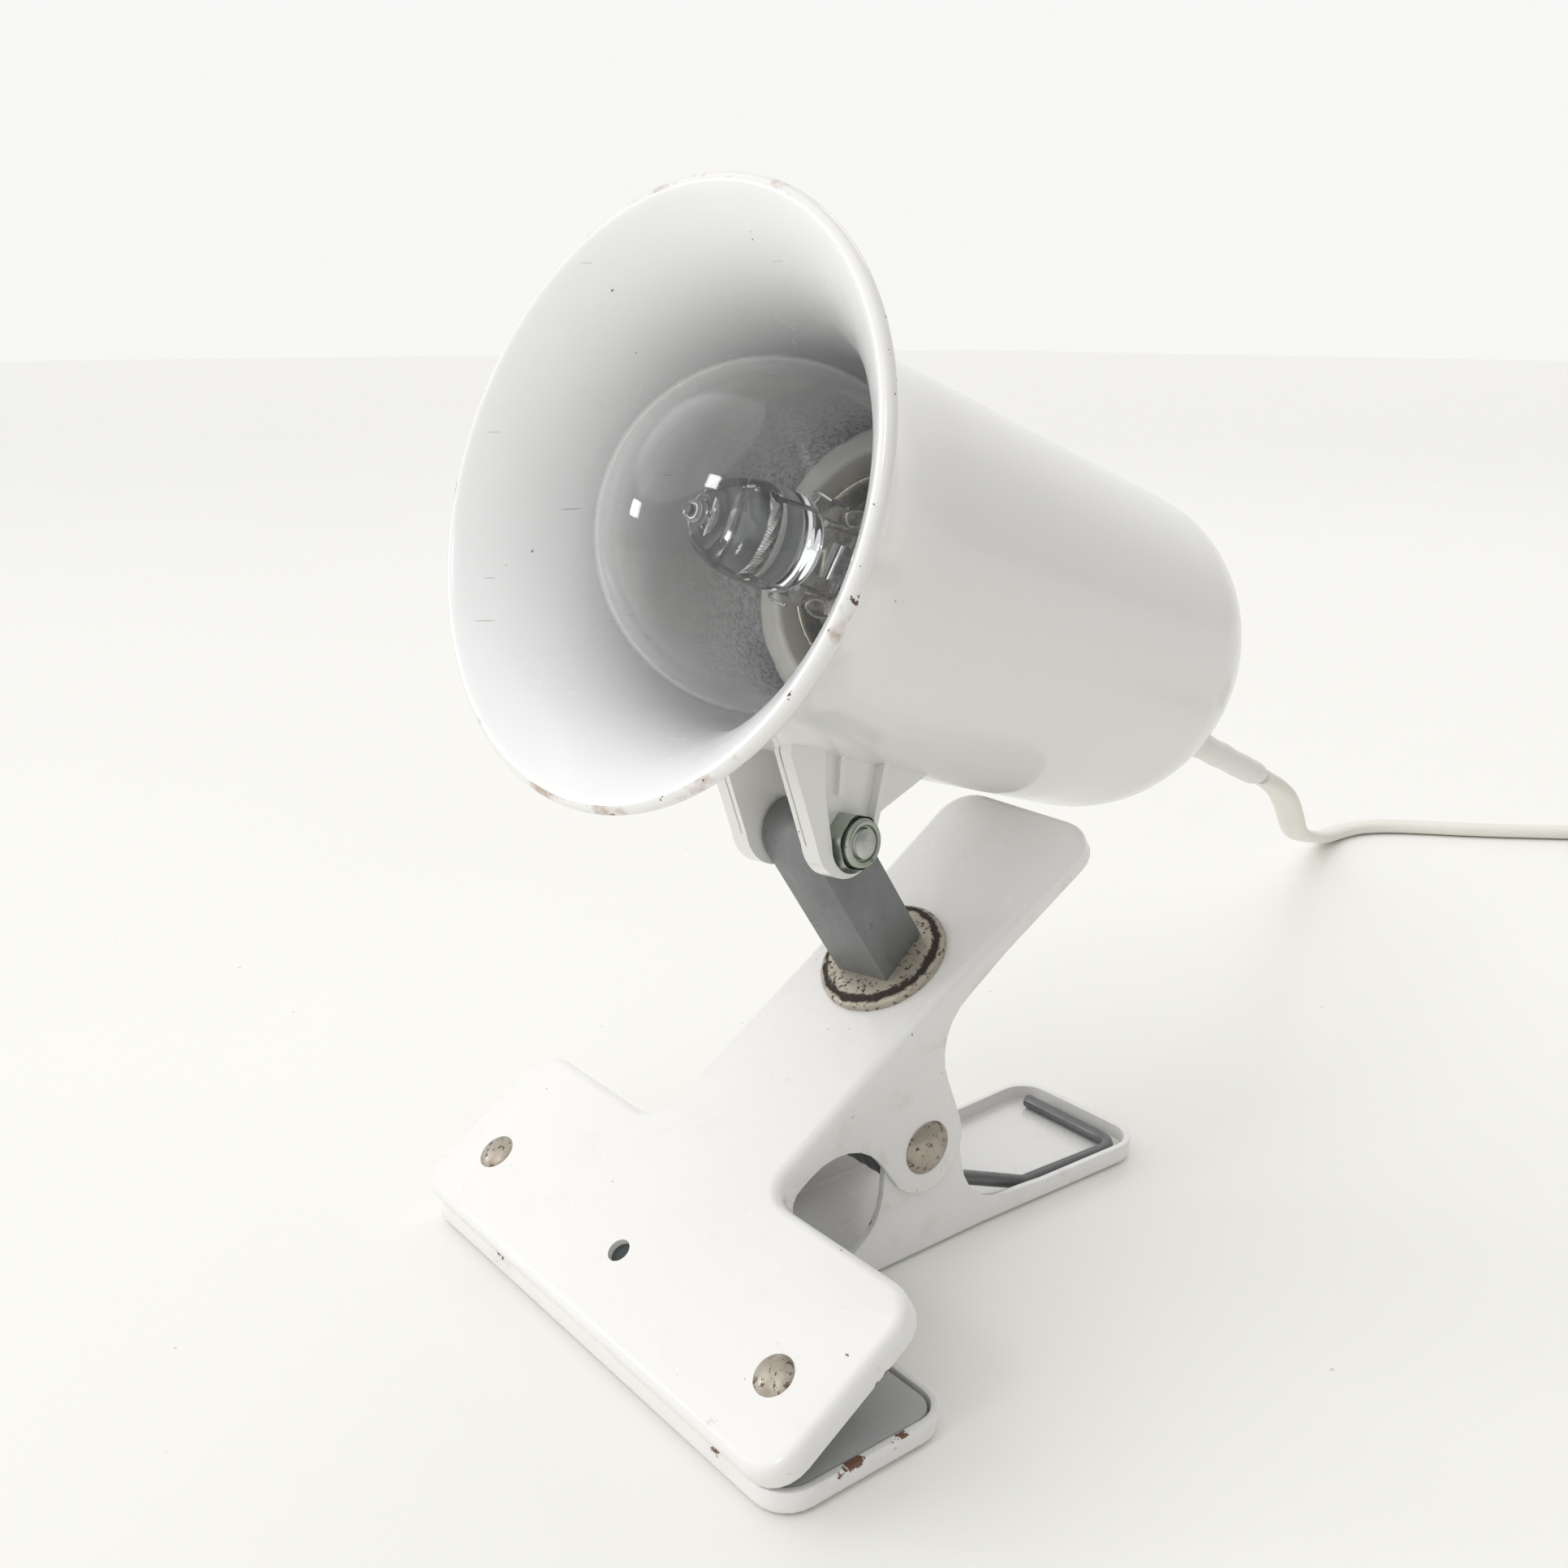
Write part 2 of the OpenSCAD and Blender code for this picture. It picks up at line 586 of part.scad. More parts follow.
module flex(route) tube(route, [for (i = [0:len(route) - 1]) let (t = tangent(route, i))
    unit([0, 0, 1] - t[2] * t)], cord_w / 2, cord_t / 2);

module cord_lead() color("ivory") flex(cord_route);

module cord_tail() color("ivory") flex(tail_route);

module cord_coil() color("ivory") translate([coil_c[0], coil_c[1], 0])
    rotate_extrude($fn = 64) translate([coil_in - cord_w / 2, tie_t])
    square([coil_out - coil_in + cord_w, coil_top - tie_t]);

module cord_tie() color("dimgray") translate([coil_c[0], coil_c[1], 0]) rotate([0, 0, 200])
    rotate_extrude(angle = 10, $fn = 64) difference() {
        translate([coil_in - cord_w / 2 - tie_t, 0])
            square([coil_out - coil_in + cord_w + 2 * tie_t, coil_top + tie_t]);
        translate([coil_in - cord_w / 2, tie_t])
            square([coil_out - coil_in + cord_w, coil_top - tie_t]);
    }

// Flat two-pin plug, lying on its wide side with the pins towards -Y
module plug_body() color("white") translate(plug_at) rotate([0, 0, -90]) {
    hull() {
        rotate([0, 90, 0]) scale([0.8, 1.2, 1]) cylinder(r = 3, h = 0.5, $fn = 32);
        translate([18, 0, 0]) rotate([0, 90, 0]) scale([1, 1.2, 1]) cylinder(r = 4.4, h = 1, $fn = 32);
    }
    hull() {
        translate([18, -5.5, -5.8]) cube([1, 11, 11.6]);
        translate([34, -17.6, -6.8]) cube([1, 35.2, 13.6]);
    }
    translate([35, 0, 0]) rotate([0, 90, 0]) linear_extrude(17) polygon([
        [-6.8, -13], [-3, -17.6], [3, -17.6], [6.8, -13],
        [6.8, 13], [3, 17.6], [-3, 17.6], [-6.8, 13]]);
}

module plug_pins() color("silver") for (s = [-1, 1])
    translate(plug_at) rotate([0, 0, -90]) translate([52, 9.3 * s, 0]) rotate([0, 90, 0]) {
        cylinder(r = 2, h = 18);
        translate([0, 0, 18]) dome(2, 1);
    }

// ---- nodes ---------------------------------------------------------------------------------

lower_clamp();
upper_clamp();
pivot_rivet();
clamp_spring();
lower_jaw_pad();
upper_jaw_pad();
lower_jaw_rivets();
upper_jaw_rivets();
pivot_arm();
swivel_washer();
swivel_under_washer();
swivel_spring_washer();
swivel_screw();
shade();
tilt_bolt();
tilt_nut();
lampholder_skirt();
lampholder_core();
threaded_shell();
centre_contact();
terminal_screws();
holder_screws();
core_wires();
strain_relief();
bulb_glass();
bulb_cap();
bulb_cap_insulator();
bulb_cap_contact();
halogen_capsule();
capsule_frame();
filament();
cord_lead();
cord_coil();
cord_tail();
cord_tie();
plug_body();
plug_pins();
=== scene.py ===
"""Looks of the clip-on reading lamp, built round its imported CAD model. Metres, in the row frame."""
import json
import math

import bmesh
import bpy
from mathutils import Matrix, Vector, geometry


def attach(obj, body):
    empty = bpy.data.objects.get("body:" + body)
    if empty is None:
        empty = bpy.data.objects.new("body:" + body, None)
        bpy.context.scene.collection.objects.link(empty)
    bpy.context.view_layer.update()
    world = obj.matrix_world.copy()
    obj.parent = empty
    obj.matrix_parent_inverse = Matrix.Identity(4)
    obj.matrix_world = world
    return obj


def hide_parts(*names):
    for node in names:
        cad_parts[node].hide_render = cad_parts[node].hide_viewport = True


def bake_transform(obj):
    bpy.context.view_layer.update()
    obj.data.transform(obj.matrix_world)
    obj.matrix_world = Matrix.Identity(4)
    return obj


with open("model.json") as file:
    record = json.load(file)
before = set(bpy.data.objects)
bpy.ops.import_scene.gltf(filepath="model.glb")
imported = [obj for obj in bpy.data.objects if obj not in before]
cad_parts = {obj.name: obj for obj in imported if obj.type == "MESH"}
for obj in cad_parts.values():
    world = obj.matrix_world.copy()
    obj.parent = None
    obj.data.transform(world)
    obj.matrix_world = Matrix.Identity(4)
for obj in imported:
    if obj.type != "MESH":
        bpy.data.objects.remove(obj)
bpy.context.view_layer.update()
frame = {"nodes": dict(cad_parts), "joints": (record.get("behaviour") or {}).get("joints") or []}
NODES = frame["nodes"]
JOINTS = {joint["name"]: joint for joint in frame["joints"]}
MM = 0.001


# ---- places --------------------------------------------------------------------------------

def placed(origin, x, y, z):
    """The matrix of a part's own frame."""
    m = Matrix((x, y, z)).transposed().to_4x4()
    m.translation = origin
    return m


def joint_point(name):
    return Vector(JOINTS[name]["pos_m"])


def joint_axis(name):
    return Vector(JOINTS[name]["axis"]).normalized()


X = Vector((1, 0, 0))
PIVOT = joint_point("clamp_open")
FOOT = joint_point("arm_swivel")
HANDLE_UP = joint_axis("arm_swivel")
HANDLE_BACK = HANDLE_UP.cross(X)
BOLT = joint_point("shade_tilt")
ACROSS = joint_axis("shade_tilt")
TILT = math.radians(51)
BULB_TURN = math.radians(70)
ARM_BACK = HANDLE_UP.cross(ACROSS)
REAR = math.cos(TILT) * ARM_BACK - math.sin(TILT) * HANDLE_UP
AWAY = ACROSS.cross(REAR)
PIVOT_FROM_JAW = 49 * MM
FOOT_FROM_JAW = 64 * MM
AXIS_FROM_BOLT = 36 * MM

LOWER = placed(Vector((0, -PIVOT_FROM_JAW, 0)), X, Vector((0, 1, 0)), Vector((0, 0, 1)))
UPPER = placed(FOOT - FOOT_FROM_JAW * HANDLE_BACK, X, HANDLE_BACK, HANDLE_UP)
HEAD = placed(BOLT, ACROSS, REAR, AWAY)
AXIS = placed(BOLT + AXIS_FROM_BOLT * AWAY, ACROSS, AWAY, -REAR)
BULB = AXIS @ Matrix.Rotation(BULB_TURN, 4, "Z")


# ---- camera --------------------------------------------------------------------------------

CAMERA_AT = Vector((155.99, -138.97, 127.5)) * MM
CAMERA_YAW, CAMERA_PITCH, CAMERA_ROLL = math.radians(51.559), math.radians(-16.094), math.radians(0.101)
SENSOR_WIDTH, LENS = 36, 36.58


def add_camera():
    """The camera fitted to the photo."""
    data = bpy.data.cameras.new("camera")
    data.sensor_width = SENSOR_WIDTH
    data.lens = LENS
    data.clip_start = 5 * MM
    camera = bpy.data.objects.new("camera", data)
    bpy.context.scene.collection.objects.link(camera)
    forward = Vector((-math.sin(CAMERA_YAW) * math.cos(CAMERA_PITCH),
                      math.cos(CAMERA_YAW) * math.cos(CAMERA_PITCH), math.sin(CAMERA_PITCH)))
    level = Vector((math.cos(CAMERA_YAW), math.sin(CAMERA_YAW), 0))
    right = math.cos(CAMERA_ROLL) * level + math.sin(CAMERA_ROLL) * level.cross(forward)
    camera.matrix_world = placed(CAMERA_AT, right, right.cross(forward), -forward)
    bpy.context.scene.camera = camera


# ---- material building blocks --------------------------------------------------------------

class Finish:
    """A node material on one Principled shader, with layers of colour, roughness and bump."""

    def __init__(self, name, color, roughness=0.4, metallic=0.0, **sockets):
        self.mat = bpy.data.materials.new(name)
        self.mat.use_nodes = True
        self.tree = self.mat.node_tree
        self.shader = self.tree.nodes["Principled BSDF"]
        self.shader.inputs["Roughness"].default_value = roughness
        self.shader.inputs["Metallic"].default_value = metallic
        for socket, value in sockets.items():
            self.shader.inputs[socket.replace("_", " ")].default_value = value
        self.shader.inputs["Base Color"].default_value = (*color, 1)
        self.roughness = roughness
        self.coords = self.node("ShaderNodeTexCoord").outputs["Object"]

    def node(self, kind, **values):
        made = self.tree.nodes.new(kind)
        for key, value in values.items():
            setattr(made, key, value)
        return made

    def join(self, source, target):
        self.tree.links.new(source, target)

    def stretched(self, stretch):
        mapping = self.node("ShaderNodeMapping")
        mapping.inputs["Scale"].default_value = stretch
        self.join(self.coords, mapping.inputs["Vector"])
        return mapping.outputs["Vector"]

    def noise(self, scale, detail=4, rough=0.6, stretch=None):
        made = self.node("ShaderNodeTexNoise")
        made.inputs["Scale"].default_value = scale
        made.inputs["Detail"].default_value = detail
        made.inputs["Roughness"].default_value = rough
        self.join(self.coords if stretch is None else self.stretched(stretch), made.inputs["Vector"])
        return made.outputs["Fac"]

    def ranged(self, value, low, high, to_low=0.0, to_high=1.0):
        made = self.node("ShaderNodeMapRange")
        made.inputs["From Min"].default_value = low
        made.inputs["From Max"].default_value = high
        made.inputs["To Min"].default_value = to_low
        made.inputs["To Max"].default_value = to_high
        self.join(value, made.inputs["Value"])
        return made.outputs["Result"]

    def maths(self, operation, a, b):
        made = self.node("ShaderNodeMath", operation=operation)
        for socket, value in ((made.inputs[0], a), (made.inputs[1], b)):
            if isinstance(value, (int, float)):
                socket.default_value = value
            else:
                self.join(value, socket)
        return made.outputs[0]

    def attribute(self, name):
        return self.node("ShaderNodeAttribute", attribute_name=name).outputs["Fac"]

    def distance(self, point):
        made = self.node("ShaderNodeVectorMath", operation="DISTANCE")
        self.join(self.coords, made.inputs[0])
        made.inputs[1].default_value = point
        return made.outputs["Value"]

    def mix_in(self, socket, kind, mask, value):
        """Blends one of the shader's values over to another where mask is 1."""
        target = self.shader.inputs[socket]
        mix = self.node("ShaderNodeMix", data_type=kind)
        self.join(mask, mix.inputs["Factor"])
        if target.links:
            self.join(target.links[0].from_socket, mix.inputs["A"])
        else:
            mix.inputs["A"].default_value = target.default_value
        mix.inputs["B"].default_value = value
        self.join(mix.outputs["Result"], target)

    def layer(self, mask, color, roughness=None, metallic=None):
        """Lays another colour, and roughness and metalness, over the surface where mask is 1."""
        self.mix_in("Base Color", "RGBA", mask, (*color, 1))
        if roughness is not None:
            self.mix_in("Roughness", "FLOAT", mask, roughness)
        if metallic is not None:
            self.mix_in("Metallic", "FLOAT", mask, metallic)

    def uneven_gloss(self, scale, spread, stretch=None):
        """Lets the roughness wander by spread either way."""
        value = self.ranged(self.noise(scale, 5, stretch=stretch), 0.3, 0.7,
                            self.roughness - spread, self.roughness + spread)
        self.join(value, self.shader.inputs["Roughness"])

    def bump(self, value, depth, strength=0.4):
        """Adds a height, whose swing of 1 is depth metres."""
        made = self.node("ShaderNodeBump")
        made.inputs["Strength"].default_value = strength
        made.inputs["Distance"].default_value = depth
        self.join(value, made.inputs["Height"])
        target = self.shader.inputs["Normal"]
        if target.links:
            self.join(target.links[0].from_socket, made.inputs["Normal"])
        self.join(made.outputs["Normal"], target)


# Chipped places on the pressed halves: point and reach, in millimetres
WORN_SPOTS = (((42, -38, 3.2), 5), ((42, -31, 3.2), 4), ((38, -47, 3.4), 3), ((42, -34, 13), 2.4),
              ((-20, -49, 3.2), 4), ((30, -49, 3.2), 4))


def enamel():
    """Glossy white stove enamel: slight orange peel, dust specks, chips to rust at worn edges."""
    f = Finish("enamel_white", (0.86, 0.855, 0.84), 0.24, Coat_Weight=0.35, Coat_Roughness=0.08)
    f.uneven_gloss(160, 0.07)
    f.layer(f.ranged(f.noise(14, 2), 0.4, 0.8, 0, 0.3), (0.82, 0.815, 0.8))
    specks = f.ranged(f.noise(800, 2), 0.77, 0.785)
    f.layer(specks, (0.2, 0.17, 0.14), 0.6)
    edge = f.attribute("edge")
    grime = f.maths("MULTIPLY", edge, f.ranged(f.noise(160, 4), 0.56, 0.66, 0, 0.35))
    f.layer(grime, (0.6, 0.56, 0.5), 0.5)
    worn = 0
    for spot, size in WORN_SPOTS:
        near = f.ranged(f.distance([c * MM for c in spot]), 0, size * MM, 0.3, 0)
        worn = f.maths("ADD", worn, near)
    ragged = f.maths("ADD", f.noise(420, 5, 0.7), f.maths("MULTIPLY", worn, edge))
    chips = f.maths("MAXIMUM", f.ranged(ragged, 0.72, 0.735),
                    f.maths("MULTIPLY", edge, f.ranged(f.noise(330, 5, 0.7), 0.69, 0.7)))
    f.layer(chips, (0.16, 0.075, 0.04), 0.8)
    f.bump(f.noise(260, 2), 0.00006, 0.35)
    f.bump(chips, -0.00012, 0.7)
    return f.mat


def shade_outside():
    """White lacquer with a soft orange peel, a few specks, and a brown worn rim."""
    f = Finish("shade_lacquer", (0.83, 0.825, 0.81), 0.2, Coat_Weight=0.4, Coat_Roughness=0.06)
    f.uneven_gloss(120, 0.06)
    f.layer(f.ranged(f.noise(12, 2), 0.4, 0.8, 0, 0.3), (0.78, 0.775, 0.76))
    f.layer(f.ranged(f.noise(600, 2), 0.77, 0.785), (0.25, 0.21, 0.18), 0.6)
    rim = f.attribute("edge")
    f.layer(f.maths("MULTIPLY", rim, f.ranged(f.noise(110, 5, 0.7), 0.55, 0.66, 0, 0.75)),
            (0.42, 0.29, 0.2), 0.5)
    f.layer(f.maths("MULTIPLY", rim, f.ranged(f.noise(420, 4, 0.7), 0.66, 0.68)),
            (0.1, 0.06, 0.04), 0.8)
    f.bump(f.noise(230, 2), 0.00007, 0.35)
    return f.mat


def shade_inside():
    """White at the mouth, thinning to a speckled blue-grey overspray far inside."""
    f = Finish("shade_interior", (0.9, 0.905, 0.91), 0.22, Coat_Weight=0.25, Coat_Roughness=0.1)
    f.uneven_gloss(140, 0.07)
    depth = f.attribute("depth")
    grain = f.ranged(f.noise(1300, 3, 0.8), 0.4, 0.6, -0.9, 0.9)
    spray = f.ranged(f.maths("ADD", depth, f.maths("MULTIPLY", grain, depth)), 0.2, 1.3, 0, 0.9)
    f.layer(spray, (0.27, 0.29, 0.34), 0.5)
    f.layer(f.ranged(f.noise(18, 2), 0.45, 0.8, 0, 0.3), (0.76, 0.77, 0.785))
    f.layer(f.ranged(f.noise(620, 2), 0.77, 0.785), (0.2, 0.17, 0.15), 0.6)
    scratch = f.ranged(f.noise(110, 1, 0.3, (1, 1.4, 22)), 0.79, 0.8, 0, 0.6)
    f.layer(scratch, (0.35, 0.3, 0.25), 0.6)
    f.bump(f.noise(240, 2), 0.00006, 0.3)
    f.bump(f.maths("MULTIPLY", grain, depth), 0.00006, 0.5)
    return f.mat


def bar_metal():
    """Dull grey plating with fine scratches along the bar and a few dark stains."""
    f = Finish("bar_steel", (0.25, 0.258, 0.263), 0.5, 0.5)
    f.uneven_gloss(300, 0.09, (4, 1, 1))
    f.layer(f.ranged(f.noise(90, 5), 0.4, 0.72, 0, 0.6), (0.17, 0.174, 0.178), 0.58)
    f.layer(f.ranged(f.noise(500, 4, 0.7), 0.66, 0.7, 0, 0.6), (0.07, 0.065, 0.06), 0.75, 0.2)
    f.bump(f.noise(700, 3, 0.6, (5, 1, 1)), 0.00003, 0.5)
    return f.mat


def aged_nickel():
    """Warm aged nickel, mottled, with brown tarnish spots."""
    f = Finish("nickel_worn", (0.46, 0.42, 0.36), 0.36, 0.85)
    f.uneven_gloss(500, 0.12)
    f.layer(f.ranged(f.noise(260, 5, 0.7), 0.42, 0.68, 0, 0.8), (0.3, 0.255, 0.2), 0.5)
    f.layer(f.ranged(f.noise(1100, 4, 0.7), 0.575, 0.61), (0.13, 0.085, 0.055), 0.8, 0.2)
    f.bump(f.noise(900, 4), 0.00004, 0.6)
    return f.mat


def washer_metal():
    """Cream-grey worn plating, pitted dark, with a ragged near-black ring painted in its step as shade."""
    f = Finish("washer_worn", (0.5, 0.46, 0.385), 0.42, 0.45)
    f.uneven_gloss(500, 0.1)
    f.layer(f.ranged(f.noise(200, 4), 0.4, 0.7, 0, 0.6), (0.37, 0.33, 0.27), 0.5)
    radius = f.distance(FOOT)
    ragged = f.maths("ADD", radius, f.ranged(f.noise(700, 5, 0.7), 0.3, 0.7, -0.0003, 0.0003))
    # Painted shade: a ragged near-black ring laid where the step lies, standing for the shade in it
    step_shade_ring = f.maths("MULTIPLY", f.ranged(ragged, 0.008, 0.0083), f.ranged(ragged, 0.0092, 0.0089))
    f.layer(step_shade_ring, (0.035, 0.028, 0.022), 0.8, 0.1)
    f.layer(f.ranged(f.noise(1100, 4, 0.75), 0.565, 0.6), (0.06, 0.045, 0.035), 0.85, 0.1)
    f.bump(f.noise(1000, 4), 0.00004, 0.6)
    return f.mat


def zinc(name, color, green=0.0):
    """Zinc plating with a cloudy passivation and grey wear."""
    f = Finish(name, color, 0.34, 0.85)
    f.uneven_gloss(420, 0.1)
    f.layer(f.ranged(f.noise(240, 5, 0.7), 0.42, 0.7, 0, 0.75), (0.34, 0.37 + green, 0.32), 0.5)
    f.layer(f.ranged(f.noise(900, 4, 0.7), 0.63, 0.68, 0, 0.8), (0.13, 0.12, 0.1), 0.7, 0.3)
    f.bump(f.noise(900, 3), 0.00003, 0.5)
    return f.mat


def dark_wire():
    """Dark spring steel, rubbed a little duller in places."""
    f = Finish("spring_wire", (0.15, 0.153, 0.157), 0.36, 0.7)
    f.uneven_gloss(600, 0.12)
    f.layer(f.ranged(f.noise(300, 5, 0.7), 0.5, 0.7, 0, 0.7), (0.16, 0.16, 0.165), 0.4)
    f.bump(f.noise(1200, 3), 0.00002, 0.4)
    return f.mat


def rubber(name, color, bloom):
    """Matt grey rubber with a pale bloom and fine pores."""
    f = Finish(name, color, 0.82)
    f.uneven_gloss(400, 0.08)
    f.layer(f.ranged(f.noise(90, 5), 0.45, 0.75, 0, 0.55), bloom, 0.9)
    f.bump(f.noise(1500, 3), 0.00006, 0.6)
    return f.mat


def thermoset():
    """Cream moulded thermoset, a little brown and dusty."""
    f = Finish("holder_cream", (0.86, 0.835, 0.77), 0.36)
    f.uneven_gloss(300, 0.08)
    f.layer(f.ranged(f.noise(120, 5), 0.48, 0.75, 0, 0.5), (0.76, 0.72, 0.64), 0.5)
    f.layer(f.ranged(f.noise(800, 3), 0.7, 0.74), (0.2, 0.16, 0.12), 0.7)
    f.bump(f.noise(900, 3), 0.00004, 0.5)
    return f.mat


def brass():
    """Pale brass with a light brown tarnish."""
    f = Finish("brass_contact", (0.66, 0.62, 0.5), 0.28, 0.95)
    f.uneven_gloss(400, 0.1)
    f.layer(f.ranged(f.noise(300, 4), 0.5, 0.75, 0, 0.6), (0.45, 0.38, 0.25), 0.45)
    f.bump(f.noise(900, 3), 0.00002, 0.4)
    return f.mat


def clear_glass(name, tint):
    """Clear glass with the faintest ripple and a trace of dust in its gloss."""
    f = Finish(name, tint, 0.02, Transmission_Weight=1.0, IOR=1.46)
    f.join(f.ranged(f.noise(90, 4), 0.5, 0.8, 0.0, 0.07), f.shader.inputs["Roughness"])
    f.bump(f.noise(25, 1), 0.0002, 0.05)
    return f.mat


def thin_metal(name, color, roughness):
    """Bright drawn metal with duller patches."""
    f = Finish(name, color, roughness, 0.95)
    f.uneven_gloss(700, 0.08)
    f.layer(f.ranged(f.noise(500, 3), 0.55, 0.75, 0, 0.5), tuple(c * 0.55 for c in color), 0.4)
    f.bump(f.noise(1200, 2), 0.00002, 0.4)
    return f.mat


def soft_pvc(name, color, aged):
    """Flexible PVC: satin, slightly yellowed and handled."""
    f = Finish(name, color, 0.46, Subsurface_Weight=0.04, Subsurface_Scale=0.002)
    f.uneven_gloss(180, 0.07)
    f.layer(f.ranged(f.noise(25, 4), 0.42, 0.72, 0, 0.6), aged, 0.55)
    f.layer(f.ranged(f.noise(500, 3), 0.7, 0.75, 0, 0.5), tuple(c * 0.55 for c in color), 0.6)
    f.bump(f.noise(500, 3), 0.00004, 0.4)
    return f.mat


def strap():
    """Black woven tie."""
    f = Finish("tie_black", (0.03, 0.03, 0.032), 0.75)
    f.uneven_gloss(700, 0.08)
    f.layer(f.ranged(f.noise(900, 3, 0.6, (1, 1, 6)), 0.45, 0.6, 0, 0.6), (0.07, 0.07, 0.075), 0.85)
    f.bump(f.noise(1400, 3, 0.6, (1, 1, 6)), 0.00008, 0.7)
    return f.mat


def table_top():
    """Pale smooth table with a few grey specks."""
    f = Finish("table_top", (0.91, 0.905, 0.87), 0.42)
    f.uneven_gloss(30, 0.05)
    f.layer(f.ranged(f.noise(6, 3), 0.4, 0.8, 0, 0.3), (0.88, 0.875, 0.84))
    f.layer(f.ranged(f.noise(260, 2), 0.76, 0.78, 0, 0.5), (0.45, 0.44, 0.42), 0.6)
    f.bump(f.noise(300, 3), 0.00004, 0.2)
    return f.mat


ENAMEL = enamel()
SHADE = shade_outside()
INTERIOR = shade_inside()
BAR = bar_metal()
NICKEL = aged_nickel()
WASHER = washer_metal()
ZINC = zinc("zinc_bright", (0.56, 0.57, 0.54))
NUT = zinc("nut_zinc", (0.42, 0.46, 0.4), 0.03)
WIRE = dark_wire()
PALE_RUBBER = rubber("pad_rubber", (0.47, 0.48, 0.475), (0.56, 0.565, 0.56))
# The upper pad's rubber is a near-black copy of the pad rubber: painted shade, for the shade inside the upper
# jaw
PAD_RUBBER_SHADED = rubber("pad_rubber_painted_shade", (0.05, 0.06, 0.062), (0.1, 0.11, 0.11))
HOLDER = thermoset()
BRASS = brass()
GLASS = clear_glass("bulb_clear", (0.97, 0.975, 0.975))
QUARTZ = clear_glass("capsule_quartz", (0.95, 0.955, 0.965))
ALUMINIUM = thin_metal("cap_aluminium", (0.72, 0.72, 0.71), 0.3)
TUNGSTEN = thin_metal("tungsten", (0.5, 0.485, 0.47), 0.28)
BLACK = soft_pvc("cap_black", (0.03, 0.03, 0.03), (0.05, 0.045, 0.04))
CORD = soft_pvc("cord_white", (0.82, 0.805, 0.745), (0.76, 0.73, 0.64))
PLUG = soft_pvc("plug_white", (0.83, 0.82, 0.79), (0.78, 0.765, 0.72))
STRAP = strap()


# ---- mesh building blocks ------------------------------------------------------------------

def add_piece(name, mesh, material, body, slot, *replaced, sharp=35):
    """Links a mesh as a finished piece that rides on a body and stands for CAD nodes."""
    piece = bpy.data.objects.new(name, mesh)
    bpy.context.scene.collection.objects.link(piece)
    mesh.materials.append(material)
    mesh.shade_smooth()
    mesh.set_sharp_from_angle(angle=math.radians(sharp))
    if body:
        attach(piece, body)
    if replaced:
        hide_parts(*replaced)
    return piece


def mesh_of(bm, name, matrix=None):
    """The finished mesh, moved by matrix; the bmesh is freed."""
    if matrix is not None:
        bmesh.ops.transform(bm, matrix=matrix, verts=bm.verts)
    bmesh.ops.recalc_face_normals(bm, faces=bm.faces)
    mesh = bpy.data.meshes.new(name)
    bm.to_mesh(mesh)
    bm.free()
    return mesh


def unit(value):
    """The value, kept between 0 and 1."""
    return min(max(value, 0), 1)


def arc(cx, cy, r, a0, a1, n):
    return [(cx + r * math.cos(math.radians(a0 + (a1 - a0) * i / n)),
             cy + r * math.sin(math.radians(a0 + (a1 - a0) * i / n))) for i in range(n + 1)]


def cubic(a, b, c, d, n):
    points = geometry.interpolate_bezier(*(Vector((*p, 0)) for p in (a, b, c, d)), n)
    return [(p.x, p.y) for p in points]


def inset_line(line, gap):
    """The line moved to its left by gap, in its own plane."""
    moved = []
    for i, p in enumerate(line):
        a, b = line[max(i - 1, 0)], line[min(i + 1, len(line) - 1)]
        run = Vector((b[0] - a[0], b[1] - a[1])).normalized()
        moved.append((p[0] - gap * run.y, p[1] + gap * run.x))
    return moved


def revolve(bm, profile, sides=128, closed=True):
    """Turns a profile of (radius, height) points about +Z, in millimetres."""
    rings = []
    for r, z in profile:
        if r < 1e-6:
            rings.append([bm.verts.new((0, 0, z * MM))])
        else:
            rings.append([bm.verts.new((r * MM * math.cos(t), r * MM * math.sin(t), z * MM))
                          for t in (2 * math.pi * k / sides for k in range(sides))])
    pairs = list(zip(rings, rings[1:] + rings[:1]))
    made = []
    for low, high in pairs if closed else pairs[:-1]:
        row = []
        for k in range(sides):
            j = (k + 1) % sides
            corners = [low[k % len(low)], low[j % len(low)], high[j % len(high)], high[k % len(high)]]
            unique = list(dict.fromkeys(corners))
            if len(unique) > 2:
                row.append(bm.faces.new(unique))
        made.append(row)
    return made


def spline(points, per_span):
    """A smooth line through given points."""
    line = [Vector(p) for p in points]
    ends = [2 * line[0] - line[1], *line, 2 * line[-1] - line[-2]]
    out = []
    for i in range(1, len(ends) - 2):
        a, b, c, d = ends[i - 1:i + 3]
        for k in range(per_span):
            t = k / per_span
            out.append(0.5 * (2 * b + (c - a) * t + (2 * a - 5 * b + 4 * c - d) * t ** 2
                              + (3 * b - a - 3 * c + d) * t ** 3))
    return out + [line[-1]]


def sweep(bm, line, section, upright=None, scales=None):
    """Sweeps a closed section of (side, up) points along a line. Upright keeps its up near +Z."""
    rings = []
    up = None
    for i, point in enumerate(line):
        run = (line[min(i + 1, len(line) - 1)] - line[max(i - 1, 0)]).normalized()
        if upright is not None:
            up = upright
        elif up is None:
            up = run.orthogonal()
        up = (up - up.dot(run) * run).normalized()
        side = run.cross(up)
        k = 1 if scales is None else scales[i]
        rings.append([bm.verts.new(point + k * (a * side + b * up)) for a, b in section])
    n = len(section)
    for low, high in zip(rings, rings[1:]):
        for k in range(n):
            bm.faces.new((low[k], low[(k + 1) % n], high[(k + 1) % n], high[k]))
    bm.faces.new(rings[0])
    bm.faces.new(rings[-1])


